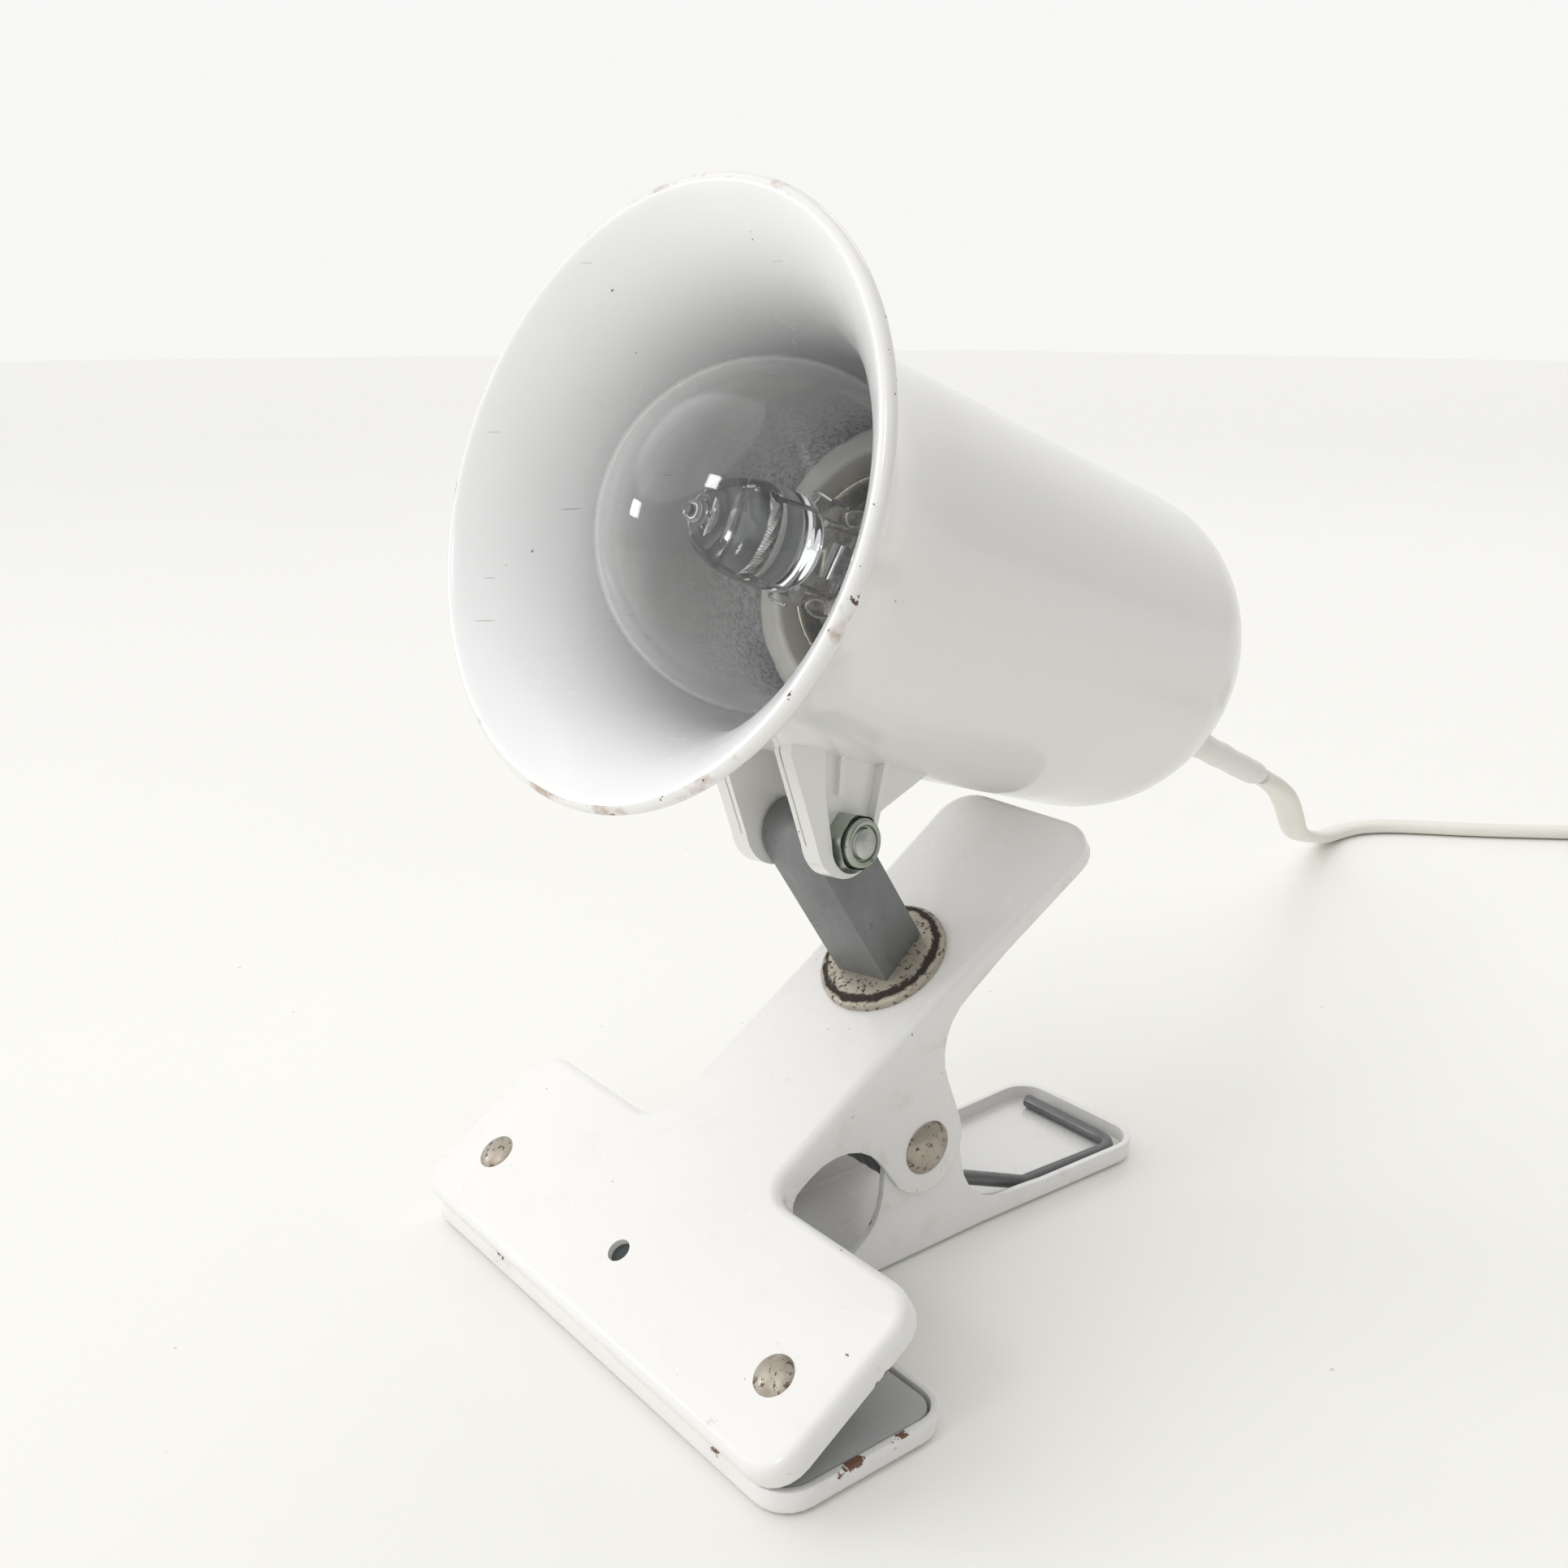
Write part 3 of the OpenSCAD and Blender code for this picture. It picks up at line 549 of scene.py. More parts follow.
def oval(a, b, n):
    return [(a * math.cos(2 * math.pi * k / n), b * math.sin(2 * math.pi * k / n)) for k in range(n)]


def prism(bm, outline, low, high, place):
    """A solid on a plane outline, from low to high along the third axis that place gives it."""
    bottom = [bm.verts.new(place(a, b, low)) for a, b in outline]
    top = [bm.verts.new(place(a, b, high)) for a, b in outline]
    n = len(outline)
    faces = [bm.faces.new(bottom), bm.faces.new(top)]
    faces += [bm.faces.new((bottom[k], bottom[(k + 1) % n], top[(k + 1) % n], top[k])) for k in range(n)]
    return faces


def sharp_edges(bm, angle):
    return [e for e in bm.edges if len(e.link_faces) == 2 and e.calc_face_angle(0) > math.radians(angle)]


def soften(bm, width, angle=30, segments=2, edges=None):
    """Rounds the given edges, or else all that are sharper than angle."""
    if edges is None:
        edges = sharp_edges(bm, angle)
    bmesh.ops.bevel(bm, geom=edges, offset=width, offset_type="OFFSET", segments=segments,
                    profile=0.5, affect="EDGES", clamp_overlap=True)


def cad_copy(node):
    """A CAD node's mesh as welded flat faces, to be worked on as a new piece."""
    bm = bmesh.new()
    bm.from_mesh(NODES[node].data)
    bmesh.ops.remove_doubles(bm, verts=bm.verts, dist=0.002 * MM)
    bmesh.ops.dissolve_limit(bm, angle_limit=math.radians(0.5), verts=bm.verts, edges=bm.edges)
    return bm


# ---- clamp ---------------------------------------------------------------------------------

JAW_RIVET_X, JAW_HOLE_Y, ARM_HOLE_Y = 32.7, 10, 64
CLAMP_HOLES = ((JAW_RIVET_X, JAW_HOLE_Y), (-JAW_RIVET_X, JAW_HOLE_Y), (0, JAW_HOLE_Y), (0, ARM_HOLE_Y))
HOLE_REACH = 3
FOLD_ANGLE = 40
FOLDS = ((0, 1.5, 5), (1, 0.6, 3))  # depth below the outer face, bend radius and segments
BELOW_SHEET, CUT_BREAK = 1.2, 0.22
RIM_FROM, RIM_WEAR, PLATE_WEAR = 2.6, 1.0, 0.15


def clamp_half(node, place, outward, body):
    """A pressed half: its folds get a bend radius and its cut edges are slightly broken."""
    bm = cad_copy(node)
    local = place.inverted()

    def depth(v):
        return (local @ v.co).z * -outward / MM

    def in_hole(v):
        p = local @ v.co
        return any(math.hypot(p.x / MM - x, p.y / MM - y) < HOLE_REACH for x, y in CLAMP_HOLES)

    cut = [e for e in sharp_edges(bm, FOLD_ANGLE) if min(depth(v) for v in e.verts) > BELOW_SHEET]
    soften(bm, CUT_BREAK * MM, edges=cut)
    for level, radius, segments in FOLDS:
        fold = [e for e in sharp_edges(bm, FOLD_ANGLE)
                if all(abs(depth(v) - level) < 0.05 and not in_hole(v) for v in e.verts)]
        soften(bm, radius * MM, segments=segments, edges=fold)
    bmesh.ops.triangulate(bm, faces=[f for f in bm.faces if len(f.verts) > 4])
    mesh = mesh_of(bm, node + "_sheet")
    worn = mesh.attributes.new("edge", "FLOAT", "POINT")
    for i, v in enumerate(mesh.vertices):
        worn.data[i].value = RIM_WEAR if depth(v) > RIM_FROM else PLATE_WEAR
    add_piece(node + "_sheet", mesh, ENAMEL, body, "enamel_white", node)


def jaw_pad(node, material, body):
    bm = cad_copy(node)
    soften(bm, 0.45 * MM, segments=3)
    add_piece(node + "_rubber", mesh_of(bm, node), material, body, "pad_rubber", node)


WIRE_R = 1.1 * MM
COIL_R = 5.4 * MM
COIL_X = 8.4 * MM
COIL_TURNS = 7
LEG_DEPTH = 2.2 * MM
LEG_Y = 24 * MM
LEG_X = 9.4 * MM
LEG_END = (10.4 * MM, 40.6 * MM)
LEG_BEND_R = 3.4 * MM
LEG_ACROSS = -8.5 * MM
POINTS_PER_TURN = 36


def spring_leg():
    """The lower leg, from the coil's tangent point to its free end, seen from the pivot."""
    far = Vector((LEG_Y, LEG_DEPTH - PIVOT.z))
    angle = math.atan2(far.y, far.x) - math.acos(COIL_R / far.length)
    start = COIL_R * Vector((math.cos(angle), math.sin(angle)))
    down = [Vector((COIL_X + (LEG_X - COIL_X) * k / 4, *(start + (far - start) * k / 4))) for k in range(5)]
    bend = [Vector((x, y, far.y)) for x, y in
            arc(LEG_END[0] - LEG_BEND_R, LEG_END[1], LEG_BEND_R, 0, 90, 8)]
    return down + bend + [Vector((LEG_ACROSS, LEG_END[1] + LEG_BEND_R, far.y))]


def clamp_spring():
    """The torsion spring: a leg, the coil about the rivet, and the same leg turned under the upper half."""
    low = spring_leg()
    turn = Matrix.Rotation(math.atan2(HANDLE_UP.z, HANDLE_UP.y) - math.pi / 2, 3, "X")
    high = [turn @ Vector((-p.x, p.y, -p.z)) for p in low]
    a0 = math.atan2(low[0].z, low[0].y)
    a1 = math.atan2(high[0].z, high[0].y)
    sweep_angle = (a1 - a0) - (2 * math.pi if a1 > a0 else 0) - 2 * math.pi * COIL_TURNS
    count = POINTS_PER_TURN * (COIL_TURNS + 1)
    coil = [Vector((COIL_X - 2 * COIL_X * k / count,
                    COIL_R * math.cos(a0 + sweep_angle * k / count),
                    COIL_R * math.sin(a0 + sweep_angle * k / count))) for k in range(1, count)]
    line = [PIVOT + p for p in [*reversed(low), *coil, *high]]
    bm = bmesh.new()
    radius = WIRE_R * 0.985
    sweep(bm, line, oval(radius, radius, 14))
    piece = add_piece("clamp_spring_wire", mesh_of(bm, "spring"), WIRE, None, "spring_wire", "clamp_spring",
                      sharp=60)
    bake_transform(piece)


# ---- head ----------------------------------------------------------------------------------

MOUTH_R, BODY_R, WALL = 37.5, 26.3, 2.0
MOUTH_Z, FLARE_Z, DOME_Z, REAR_Z = 38.5, 12.0, -54.0, -76.0
DOME_R = BODY_R - 0.6


def shade_profile():
    """The outside line from the rear to the lip, and the inside line back."""
    lip = 0.95
    quarter = [math.pi / 2 * k / 32 for k in range(33)]
    dome = [(DOME_R * math.sin(t), DOME_Z + (REAR_Z - DOME_Z) * math.cos(t)) for t in quarter]
    side = [(DOME_R + (BODY_R - DOME_R) * k / 6, DOME_Z + (FLARE_Z - DOME_Z) * k / 6) for k in range(1, 6)]
    flare = cubic((BODY_R, FLARE_Z), (BODY_R + 0.4, FLARE_Z + 12),
                  (BODY_R + 4.0, MOUTH_Z - 6.5), (MOUTH_R - 0.25, MOUTH_Z - lip), 28)
    outside = dome + side + flare
    inside = [(max(r, 0), z) for r, z in inset_line(outside, WALL)]
    inside[0] = (0, REAR_Z + WALL)
    a, b = outside[-1], inside[-1]
    middle = Vector(((a[0] + b[0]) / 2, (a[1] + b[1]) / 2))
    radius = math.hypot(a[0] - b[0], a[1] - b[1]) / 2
    start = math.degrees(math.atan2(a[1] - middle.y, a[0] - middle.x))
    bead = arc(middle.x, middle.y, radius, start, start + 180, 10)[1:-1]
    return outside, bead, list(reversed(inside))


def ear_solids(bm, side):
    """One ear, right for side 1 and left for -1: a plate with a raised border, two ribs and a brace."""
    inner, outer, floor = 5.0, 7.85, 6.05

    def place(y, z, x):
        return Vector((side * x, y, z)) * MM

    view = [(5.2, 12), (-15, 12), (-14.6, 9.5), *arc(-1.4, 1, 6, 205, 355, 16)]
    prism(bm, view, inner, floor, place)
    hook = [(-15, 12), (-14.6, 9.5), *arc(-1.4, 1, 6, 205, 322, 12), *arc(0, 0, 4.25, -48, -168, 14),
            (-6.9, 5), (-8.6, 12)]
    prism(bm, hook, floor - 0.3, outer, place)
    prism(bm, [(3.7, 3.4), (4.6, 0.9), (5.15, 12), (4.0, 12)], floor - 0.3, outer - 0.5, place)
    prism(bm, [(-3.3, 5.6), (-2.5, 5.6), (-3.4, 12), (-4.4, 12)], floor - 0.3, floor + 0.75, place)
    prism(bm, [(4, 12), (4, 3), (14.5, 10.6), (15, 12)], inner + 0.1, inner + 1.25, place)


RIM_BAND, RIM_FADE = 2.2, 1.6
SPRAY_FROM, SPRAY_FADE = 14, 28


def shade():
    """The turned shell, marked with its worn rim and its depth, and the two ears."""
    outside, bead, inside = shade_profile()
    bm = bmesh.new()
    rows = revolve(bm, outside + bead + inside, 160, closed=False)
    first_inside = len(outside) + len(bead) - 2
    for k, row in enumerate(rows):
        for face in row:
            face.material_index = 1 if k >= first_inside else 0
    mesh = mesh_of(bm, "shade_shell", AXIS)
    edge = mesh.attributes.new("edge", "FLOAT", "POINT")
    depth = mesh.attributes.new("depth", "FLOAT", "POINT")
    local = AXIS.inverted()
    for i, v in enumerate(mesh.vertices):
        z = (local @ v.co).z / MM
        edge.data[i].value = unit((z - MOUTH_Z + RIM_BAND) / RIM_FADE)
        depth.data[i].value = unit((SPRAY_FROM - z) / SPRAY_FADE)
    add_piece("shade_shell", mesh, SHADE, "head", "shade_white", "shade", sharp=60)
    mesh.materials.append(INTERIOR)
    for name, side in (("shade_ear_right", 1), ("shade_ear_left", -1)):
        ear = bmesh.new()
        ear_solids(ear, side)
        soften(ear, 0.38 * MM, segments=3)
        add_piece(name, mesh_of(ear, "ear", HEAD), SHADE, "head", "shade_white", sharp=50)


NUT_SEAT, NUT_HALF_FLATS, NUT_POINTS = 5.96, 3.5, 48
# Start and end of each band of the hexagon, and how far its corners reach there
NUT_BANDS = ((0, 0.35, 0.93, 1), (0.35, 2.45, 1, 1), (2.45, 2.8, 1, 0.92))


def hex_ring(bm, z, reach):
    """A hexagon at height z, with its corners cut back to a circle of radius reach."""
    ring = []
    for i in range(NUT_POINTS):
        t = 2 * math.pi * i / NUT_POINTS
        flat = NUT_HALF_FLATS / math.cos((t + math.pi / 6) % (math.pi / 3) - math.pi / 6)
        r = min(flat, reach)
        ring.append(bm.verts.new((r * MM * math.cos(t), r * MM * math.sin(t), z * MM)))
    return ring


def hex_nut():
    """M4 self-locking nut: chamfered hexagon, round collar and the nylon ring in it."""
    turn = Matrix.Rotation(math.pi / 2, 4, "Y")
    seat = Matrix.Translation((NUT_SEAT * MM, 0, 0))
    bm = bmesh.new()
    corner = NUT_HALF_FLATS / math.cos(math.pi / 6)
    for low, high, low_reach, high_reach in NUT_BANDS:
        bottom = hex_ring(bm, low, corner * low_reach)
        top = hex_ring(bm, high, corner * high_reach)
        for i in range(NUT_POINTS):
            j = (i + 1) % NUT_POINTS
            bm.faces.new((bottom[i], bottom[j], top[j], top[i]))
        if low == 0:
            bm.faces.new(bottom)
    bmesh.ops.remove_doubles(bm, verts=bm.verts, dist=0.001 * MM)
    revolve(bm, [(3.2, 2.6), (3.3, 3.3), (3.15, 3.7), (2.9, 3.8), (2.5, 3.72), (2.35, 3.4), (2.05, 3.3),
                 (2.05, 2.2), (3.2, 2.2)], NUT_POINTS)
    mesh = mesh_of(bm, "nut", HEAD @ seat @ turn)
    add_piece("tilt_nut_hex", mesh, NUT, "head", "nut_zinc", "tilt_nut", sharp=28)


def tilt_bolt():
    """The bolt: a pan head with a dimple for its recess, and a ridged end that shows in the nut."""
    bm = bmesh.new()
    ridge = [(1.98 if k % 2 else 1.72, 6 + 0.35 * k) for k in range(12)]
    revolve(bm, [(0, 10.15), (1.2, 10.15), (1.62, 9.95), *reversed(ridge), (1.98, 5.8), (1.98, -5.9),
                 (3.3, -6.1), (3.5, -6.5), (3.5, -7.9), (3.2, -8.6), (2.3, -9.05), (1.5, -9.15),
                 (0.9, -8.4), (0, -8.2)], 48, closed=False)
    turn = Matrix.Rotation(math.pi / 2, 4, "Y")
    add_piece("tilt_bolt_m4", mesh_of(bm, "bolt", HEAD @ turn), ZINC, "head", "zinc_bright", "tilt_bolt")


GLOBE_R, GLOBE_Z, NECK_R = 22.5, 16.5, 12.4


def globe_line(gap):
    """The globe's outline from its neck to its tip, moved inward by gap."""
    r = GLOBE_R - gap
    neck = NECK_R - gap

    def on_globe(degrees):
        return r * math.sin(math.radians(degrees)), GLOBE_Z + r * math.cos(math.radians(degrees))

    shoulder = cubic((neck, -13.5), (neck, -1.5), (r - 7.5, 0.5), on_globe(128), 16)
    return shoulder + [on_globe(a) for a in range(124, 0, -4)] + [(0, GLOBE_Z + r)]


def add_clear(name, mesh, material, *replaced, sharp=35):
    """A clear piece of the bulb. It casts no shadow, so that what is behind it stays lit."""
    piece = add_piece(name, mesh, material, "head", "bulb_clear", *replaced, sharp=sharp)
    piece.visible_shadow = False


def globe():
    bm = bmesh.new()
    revolve(bm, globe_line(0.02) + list(reversed(globe_line(0.72))), 96)
    add_clear("bulb_globe", mesh_of(bm, "globe", AXIS), GLASS, "bulb_glass", sharp=60)


def along_bulb(a, b, c):
    """Places an outline in the bulb's x and z, with its thickness along y."""
    return Vector((a, c, b)) * MM


def across_bulb(a, b, c):
    """Places an outline in the bulb's x and y, with its thickness along z."""
    return Vector((a, b, c)) * MM


def capsule():
    """The halogen capsule: a domed tube with a sealed tip, closed by a flat pinch."""
    back, front, r, wall = 12.5, 31.5, 6.6, 0.75
    outside = (arc(r - 2.4, back + 2.4, 2.4, -60, 0, 8)
               + cubic((r, back + 4), (r + 0.1, front - 7), (4.4, front - 3.2), (1.7, front - 2.4), 16)
               + cubic((1.7, front - 2.4), (1.3, front - 1.9), (1.5, front - 0.5), (0.7, front - 0.1), 5))
    inside = [(max(q - wall, 0.5), min(z, front - 3.3)) for q, z in outside[2:-5]]
    bm = bmesh.new()
    revolve(bm, [(0, back), *outside, (0, front), (0, front - 3.2), *reversed(inside), (0, back + 1.2)],
            64, closed=False)
    pinch = [(-5.3, 5), (5.3, 5), (5.3, 12.4), (4.4, 13.6), (-4.4, 13.6), (-5.3, 12.4)]
    faces = prism(bm, pinch, -1.45, 1.45, along_bulb)
    soften(bm, 0.5 * MM, segments=3, edges=list({e for f in faces for e in f.edges}))
    add_clear("capsule_quartz", mesh_of(bm, "capsule", BULB), QUARTZ, "halogen_capsule")


def capsule_frame():
    """The support wires and the bent strips that hold the capsule."""
    bm = bmesh.new()
    thin, thick = oval(0.22 * MM, 0.22 * MM, 8), oval(0.48 * MM, 0.48 * MM, 8)

    def wire(points, section):
        sweep(bm, spline([Vector(p) * MM for p in points], 6), section)

    for s in (-1, 1):
        wire([(4.2 * s, -2.4, -22), (4.2 * s, -2.4, -10), (4.4 * s, -2.7, 0), (4.6 * s, -2.9, 6),
              (4.4 * s, -3.2, 12)], thick)
        wire([(6.6 * s, -3.4, 1), (6.9 * s, -3.6, 4), (7.3 * s, -3.4, 7), (6.4 * s, -3.1, 9),
              (5.2 * s, -3.3, 8.2), (5.4 * s, -3.6, 6.4), (6.6 * s, -3.7, 5.6)], thin)
        wire([(3.2 * s, 3.2, 2), (3.4 * s, 3.6, 6), (5.2 * s, 3.4, 8), (6.8 * s, 3.2, 6.4),
              (7 * s, 3.4, 2)], thin)
        wire([(7.2 * s, -2.6, 12), (7.4 * s, -0.9, 12.6), (7.2 * s, 0.9, 12), (7.2 * s, 2.6, 10)], thin)
        prism(bm, [(2.4 * s, 5), (6.9 * s, 5), (6.9 * s, 10.4), (5.4 * s, 12.2), (2.4 * s, 11)],
              -2.5, -2.05, along_bulb)
        prism(bm, [(2.4 * s, 4), (6.9 * s, 4), (6.9 * s, 9.4), (4.4 * s, 10.4)], 2.05, 2.45, along_bulb)
    wire([(-6.6, -3.4, 1), (-3, -4.2, 1.4), (-1.4, -3.6, 2.6), (1.4, -3.6, 2.6), (3, -4.2, 1.4),
          (6.6, -3.4, 1)], thin)
    prism(bm, [(-6.9, -1.7), (-6.9, -3.9), (6.9, -3.9), (6.9, -1.7), (5.7, -1.7), (5.7, 1.7), (6.9, 1.7),
               (6.9, 3.9), (-6.9, 3.9), (-6.9, 1.7), (-5.7, 1.7), (-5.7, -1.7)], 3.5, 4.0, across_bulb)
    frame_mesh = mesh_of(bm, "frame", BULB)
    add_piece("capsule_frame_wires", frame_mesh, TUNGSTEN, "head", "tungsten", "capsule_frame")


def bulb_stem():
    bm = bmesh.new()
    revolve(bm, [(0, -14.2), (2.2, -14.2), (3.2, -15), (4.6, -19), (7.9, -25.8), (0, -25.8)], 48,
            closed=False)
    add_clear("bulb_stem", mesh_of(bm, "stem", AXIS), QUARTZ)


def filament():
    """A coiled wire across the capsule, on its two lead wires."""
    half, r, height, points, step = 2.5, 0.7, 19.5, 220, 0.8
    bm = bmesh.new()
    coil = [Vector((2 * half * k / points - half, r * math.cos(k * step),
                    height + r * math.sin(k * step))) * MM for k in range(points + 1)]
    sweep(bm, coil, oval(0.1 * MM, 0.1 * MM, 6))
    for s in (-1, 1):
        sweep(bm, [Vector((2.4 * s, 0, z)) * MM for z in (9.6, 12, 16, 19.4)], oval(0.2 * MM, 0.2 * MM, 8))
    add_piece("filament_coil", mesh_of(bm, "filament", BULB), TUNGSTEN, "head", "tungsten", "filament")


GLAND_Y, SLEEVE_ROOT, SLEEVE_L = -7.2, 4.5, 48.6
SLEEVE_DROOP = math.radians(6)
SLEEVE_TAPER, SLEEVE_STEPS = 0.2, 72
GRIP_RINGS, GRIP_DEPTH, TIP_FROM = 6, 0.03, 0.94


def sleeve():
    """The strain relief: a drooping tapered oval with a rounded end and shallow grip rings."""
    root = Vector((0, GLAND_Y, REAR_Z + SLEEVE_ROOT)) * MM
    droop = Matrix.Rotation(-SLEEVE_DROOP, 3, "X")
    line, scales = [], []
    for k in range(SLEEVE_STEPS + 1):
        t = k / SLEEVE_STEPS
        line.append(root + droop @ Vector((0, 0, -SLEEVE_L * t)) * MM)
        ring = GRIP_DEPTH * (1 - math.cos(2 * math.pi * GRIP_RINGS * t)) if 0.25 < t < 0.9 else 0
        end = 1 if t < TIP_FROM else math.sqrt(max(1 - ((t - TIP_FROM) / 0.075) ** 2, 0.3))
        scales.append((1 - SLEEVE_TAPER * t - ring) * end)
    bm = bmesh.new()
    revolve(bm, [(0, 0), (3.5, 0), (3.5, 10), (4.8, 10), (4.8, 11.5), (0, 11.5)], 32, closed=False)
    bmesh.ops.translate(bm, vec=root, verts=bm.verts)
    sweep(bm, line, oval(3.6 * MM, 2.7 * MM, 32), upright=Vector((0, 1, 0)), scales=scales)
    mesh = mesh_of(bm, "sleeve", AXIS)
    add_piece("cord_sleeve", mesh, PLUG, "head", "plug_white", "strain_relief", sharp=45)


# ---- cord ----------------------------------------------------------------------------------

CORD_W, CORD_T, TIE_T = 5.4, 3.2, 0.8
LEAD = [
    (-14.2, 110, 46.2), (-14.7, 115, 43.7), (-16, 120.5, 40.5), (-18.8, 127, 36.2),
    (-22.8, 134.8, 31.2), (-28, 143.8, 26.4), (-34, 154.4, 21.4), (-40.4, 166, 16.8),
    (-46.8, 178, 12.4), (-52.6, 189.6, 8.4), (-57.4, 200, 5), (-60.8, 209, 2.6),
    (-62.3, 217, 1.7), (-61.4, 224.6, 1.6), (-57.8, 231.2, 1.6), (-52.4, 237, 1.6),
    (-45.8, 243, 1.6), (-38.6, 250, 1.6), (-31, 258, 1.6), (-22.6, 267, 1.6),
    (-13.8, 275.8, 1.8), (-5, 284.4, 2.2), (3.3, 292.8, 2.4),
]
TAIL = [(63, 268, 12), (63.6, 258, 11.8), (65.4, 248, 10.4), (67.8, 238, 7.8), (68, 232.3, 7.2)]
COIL_AT = (28, 268)
COIL_OUT_R, COIL_IN_R, COIL_LAYERS = 35, 23.7, 4
CORD_COIL_TURNS = 8.375
COIL_POINTS = 48 * 9
CLIMB = 0.06  # share of a layer over which the cord climbs to the next


def coil_turns():
    """Flat spirals wound in and out by turns, each layer on the last, clockwise from above."""
    a0 = math.atan2(LEAD[-1][1] - COIL_AT[1], LEAD[-1][0] - COIL_AT[0])
    points = []
    for k in range(1, COIL_POINTS):
        along = COIL_LAYERS * k / COIL_POINTS
        layer, part = int(along), along % 1
        turned = a0 - 2 * math.pi * CORD_COIL_TURNS * k / COIL_POINTS
        inward = part if layer % 2 == 0 else 1 - part
        radius = COIL_OUT_R - (COIL_OUT_R - COIL_IN_R) * inward
        near = round(along)
        rise = unit((along - near + CLIMB) / (2 * CLIMB)) if 0 < near < COIL_LAYERS else None
        level = layer if rise is None else near - 1 + rise * rise * (3 - 2 * rise)
        points.append((COIL_AT[0] + radius * math.cos(turned), COIL_AT[1] + radius * math.sin(turned),
                       TIE_T + (level + 0.5) * CORD_T))
    return points


WAIST_DEPTH, WAIST_WIDTH, SQUARENESS, SKIN = 0.13, 0.28, 0.85, 0.995


def twin_flex():
    """Half way between an oval and two cores side by side."""
    section = []
    for k in range(24):
        t = 2 * math.pi * k / 24
        waist = 1 - WAIST_DEPTH * math.exp(-(math.cos(t) / WAIST_WIDTH) ** 2)
        up = math.copysign(abs(math.sin(t)) ** SQUARENESS, math.sin(t))
        section.append((CORD_W / 2 * math.cos(t) * MM, CORD_T / 2 * up * waist * SKIN * MM))
    return section


def cord():
    """The whole cord as one tube, and the line that it follows."""
    lead = spline([Vector(p) * MM for p in LEAD], 6)
    tail = spline([Vector(p) * MM for p in TAIL], 6)
    line = lead + [Vector(p) * MM for p in coil_turns()] + tail
    bm = bmesh.new()
    sweep(bm, line, twin_flex(), upright=Vector((0, 0, 1)))
    piece = add_piece("cord", mesh_of(bm, "cord"), CORD, None, "cord_white",
                      "cord_lead", "cord_coil", "cord_tail", sharp=60)
    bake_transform(piece)
    return piece, line


def plug_and_tie():
    plug = cad_copy("plug_body")
    soften(plug, 0.9 * MM, angle=28, segments=3)
    body = add_piece("plug_moulding", mesh_of(plug, "plug"), PLUG, "arm", "plug_white", "plug_body", sharp=50)
    tie = cad_copy("cord_tie")
    soften(tie, 0.3 * MM, angle=40, segments=2)
    band = add_piece("cord_strap", mesh_of(tie, "tie"), STRAP, "arm", "tie_black", "cord_tie", sharp=50)
    return [body, band, NODES["plug_pins"]]


# ---- CAD nodes that keep their shape -------------------------------------------------------

def dress(node, material, edge):
    """Gives a carried-over node its material, smooth shading and slightly broken edges."""
    obj = NODES[node]
    obj.data.materials.clear()
    obj.data.materials.append(material)
    obj.data.shade_smooth()
    weld = obj.modifiers.new("weld", "WELD")
    weld.merge_threshold = 0.002 * MM
    if edge:
        bevel = obj.modifiers.new("broken_edges", "BEVEL")
        bevel.width = edge * MM
        bevel.segments = 2
        bevel.limit_method = "ANGLE"
        bevel.angle_limit = math.radians(40)
    obj.data.set_sharp_from_angle(angle=math.radians(35))


def dress_nodes():
    for node, material, edge in (
            ("pivot_arm", BAR, 0.35), ("swivel_washer", WASHER, 0.12), ("swivel_under_washer", ZINC, 0.12),
            ("swivel_spring_washer", BAR, 0.15), ("swivel_screw", ZINC, 0.12), ("pivot_rivet", NICKEL, 0.15),
            ("upper_jaw_rivets", NICKEL, 0.12), ("lower_jaw_rivets", NICKEL, 0.1),
            ("lampholder_skirt", HOLDER, 0), ("lampholder_core", HOLDER, 0.3), ("threaded_shell", BRASS, 0),
            ("centre_contact", BRASS, 0.05), ("terminal_screws", ZINC, 0.1), ("holder_screws", ZINC, 0.1),
            ("core_wires", CORD, 0), ("bulb_cap", ALUMINIUM, 0), ("bulb_cap_insulator", BLACK, 0),
            ("bulb_cap_contact", ALUMINIUM, 0), ("plug_pins", ZINC, 0.1)):
        dress(node, material, edge)


# ---- setting -------------------------------------------------------------------------------

TABLE_REACH = 6.0
DIM_SIDE = (0.93, 0.33, -0.15)
SUN_FROM = Vector((-0.5, -0.6, 1))
LIT_POINT = Vector((0, 20, 60)) * MM
# Name, place, width and watts of each area light
AREA_LIGHTS = (("window", (-0.75, -0.72, 0.3), 0.12, 0.7), ("back_window", (-0.35, 0.8, 0.9), 0.4, 0.6),
               ("front_window", (0.1, -0.85, 0.75), 0.14, 0.8))


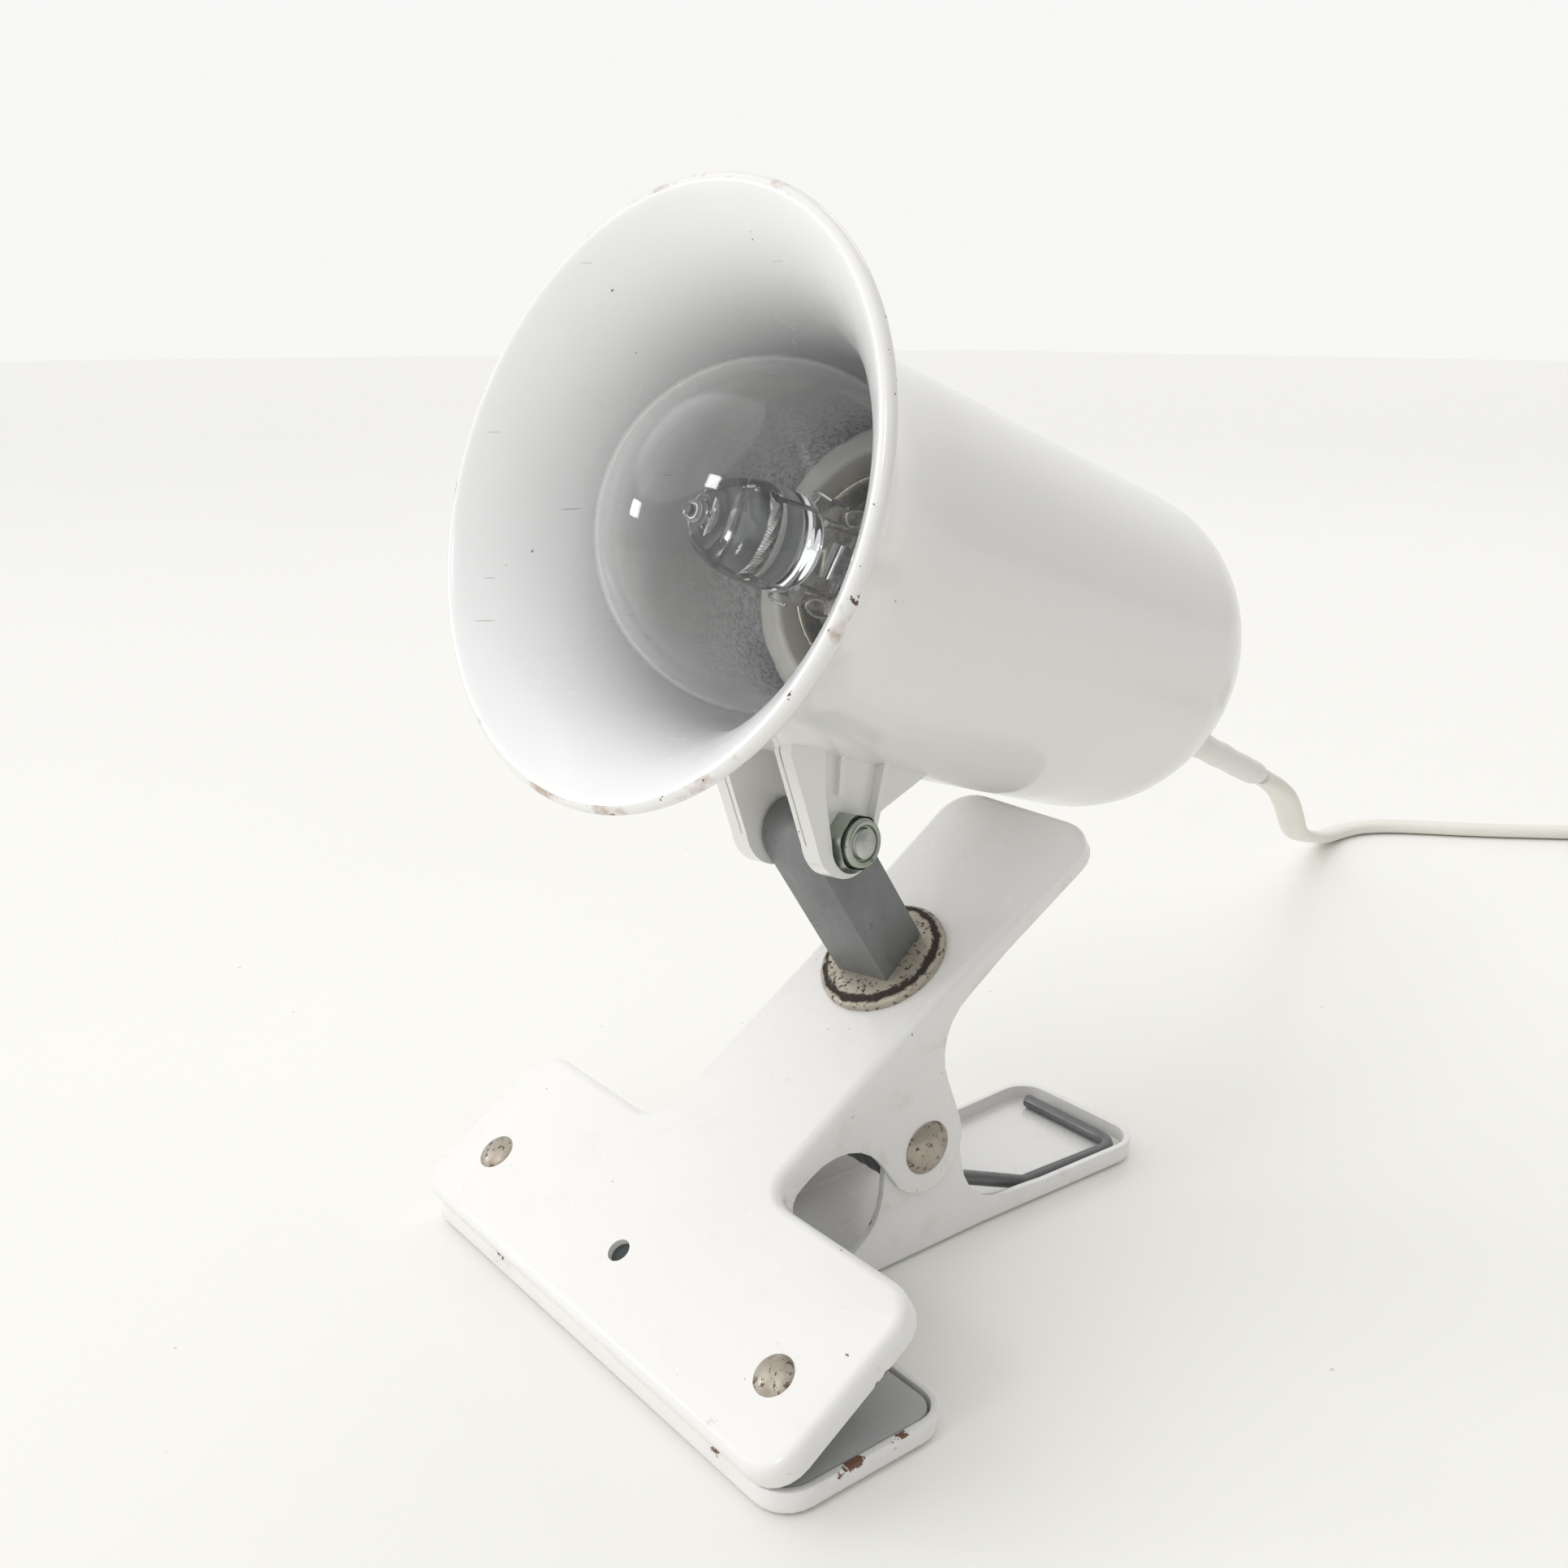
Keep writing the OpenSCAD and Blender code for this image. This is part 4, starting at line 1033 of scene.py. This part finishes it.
def table():
    reach = TABLE_REACH
    mesh = bpy.data.meshes.new("table")
    mesh.from_pydata([(-reach, -reach, 0), (reach, -reach, 0), (reach, reach, 0), (-reach, reach, 0)], [],
                     [(0, 1, 2, 3)])
    top = bpy.data.objects.new("table", mesh)
    bpy.context.scene.collection.objects.link(top)
    mesh.materials.append(table_top())


def surroundings():
    """A pale room that is dimmer toward DIM_SIDE."""
    world = bpy.data.worlds.new("studio")
    bpy.context.scene.world = world
    world.use_nodes = True
    tree = world.node_tree
    direction = tree.nodes.new("ShaderNodeTexCoord").outputs["Generated"]
    toward = tree.nodes.new("ShaderNodeVectorMath")
    toward.operation = "DOT_PRODUCT"
    toward.inputs[1].default_value = DIM_SIDE
    tree.links.new(direction, toward.inputs[0])
    ramp = tree.nodes.new("ShaderNodeMapRange")
    for socket, value in (("From Min", 0.1), ("From Max", 0.95), ("To Min", 0.94), ("To Max", 0.27)):
        ramp.inputs[socket].default_value = value
    tree.links.new(toward.outputs["Value"], ramp.inputs["Value"])
    background = tree.nodes["Background"]
    background.inputs["Color"].default_value = (1, 0.995, 0.985, 1)
    tree.links.new(ramp.outputs["Result"], background.inputs["Strength"])


def add_light(name, kind, at, aim, **values):
    data = bpy.data.lights.new(name, kind)
    for key, value in values.items():
        setattr(data, key, value)
    light = bpy.data.objects.new(name, data)
    light.location = at
    light.rotation_euler = aim.to_track_quat("-Z", "Y").to_euler()
    bpy.context.scene.collection.objects.link(light)


def lights():
    add_light("sky_light", "SUN", (0, 0, 0), -SUN_FROM, energy=0.5, angle=math.radians(70))
    for name, at, size, power in AREA_LIGHTS:
        add_light(name, "AREA", at, LIT_POINT - Vector(at), size=size, energy=power)
    bpy.context.scene.view_settings.view_transform = "Standard"


add_camera()
CORD_PIECE, CORD_LINE = cord()
ON_CORD = plug_and_tie()
clamp_half("lower_clamp", LOWER, -1, "lower_half")
clamp_half("upper_clamp", UPPER, 1, "upper_half")
jaw_pad("lower_jaw_pad", PALE_RUBBER, "lower_half")
# The upper pad's rubber is darkened as painted shade
jaw_pad("upper_jaw_pad", PAD_RUBBER_SHADED, "upper_half")
clamp_spring()
shade()
hex_nut()
tilt_bolt()
globe()
capsule()
capsule_frame()
bulb_stem()
filament()
sleeve()
dress_nodes()
table()
surroundings()
lights()
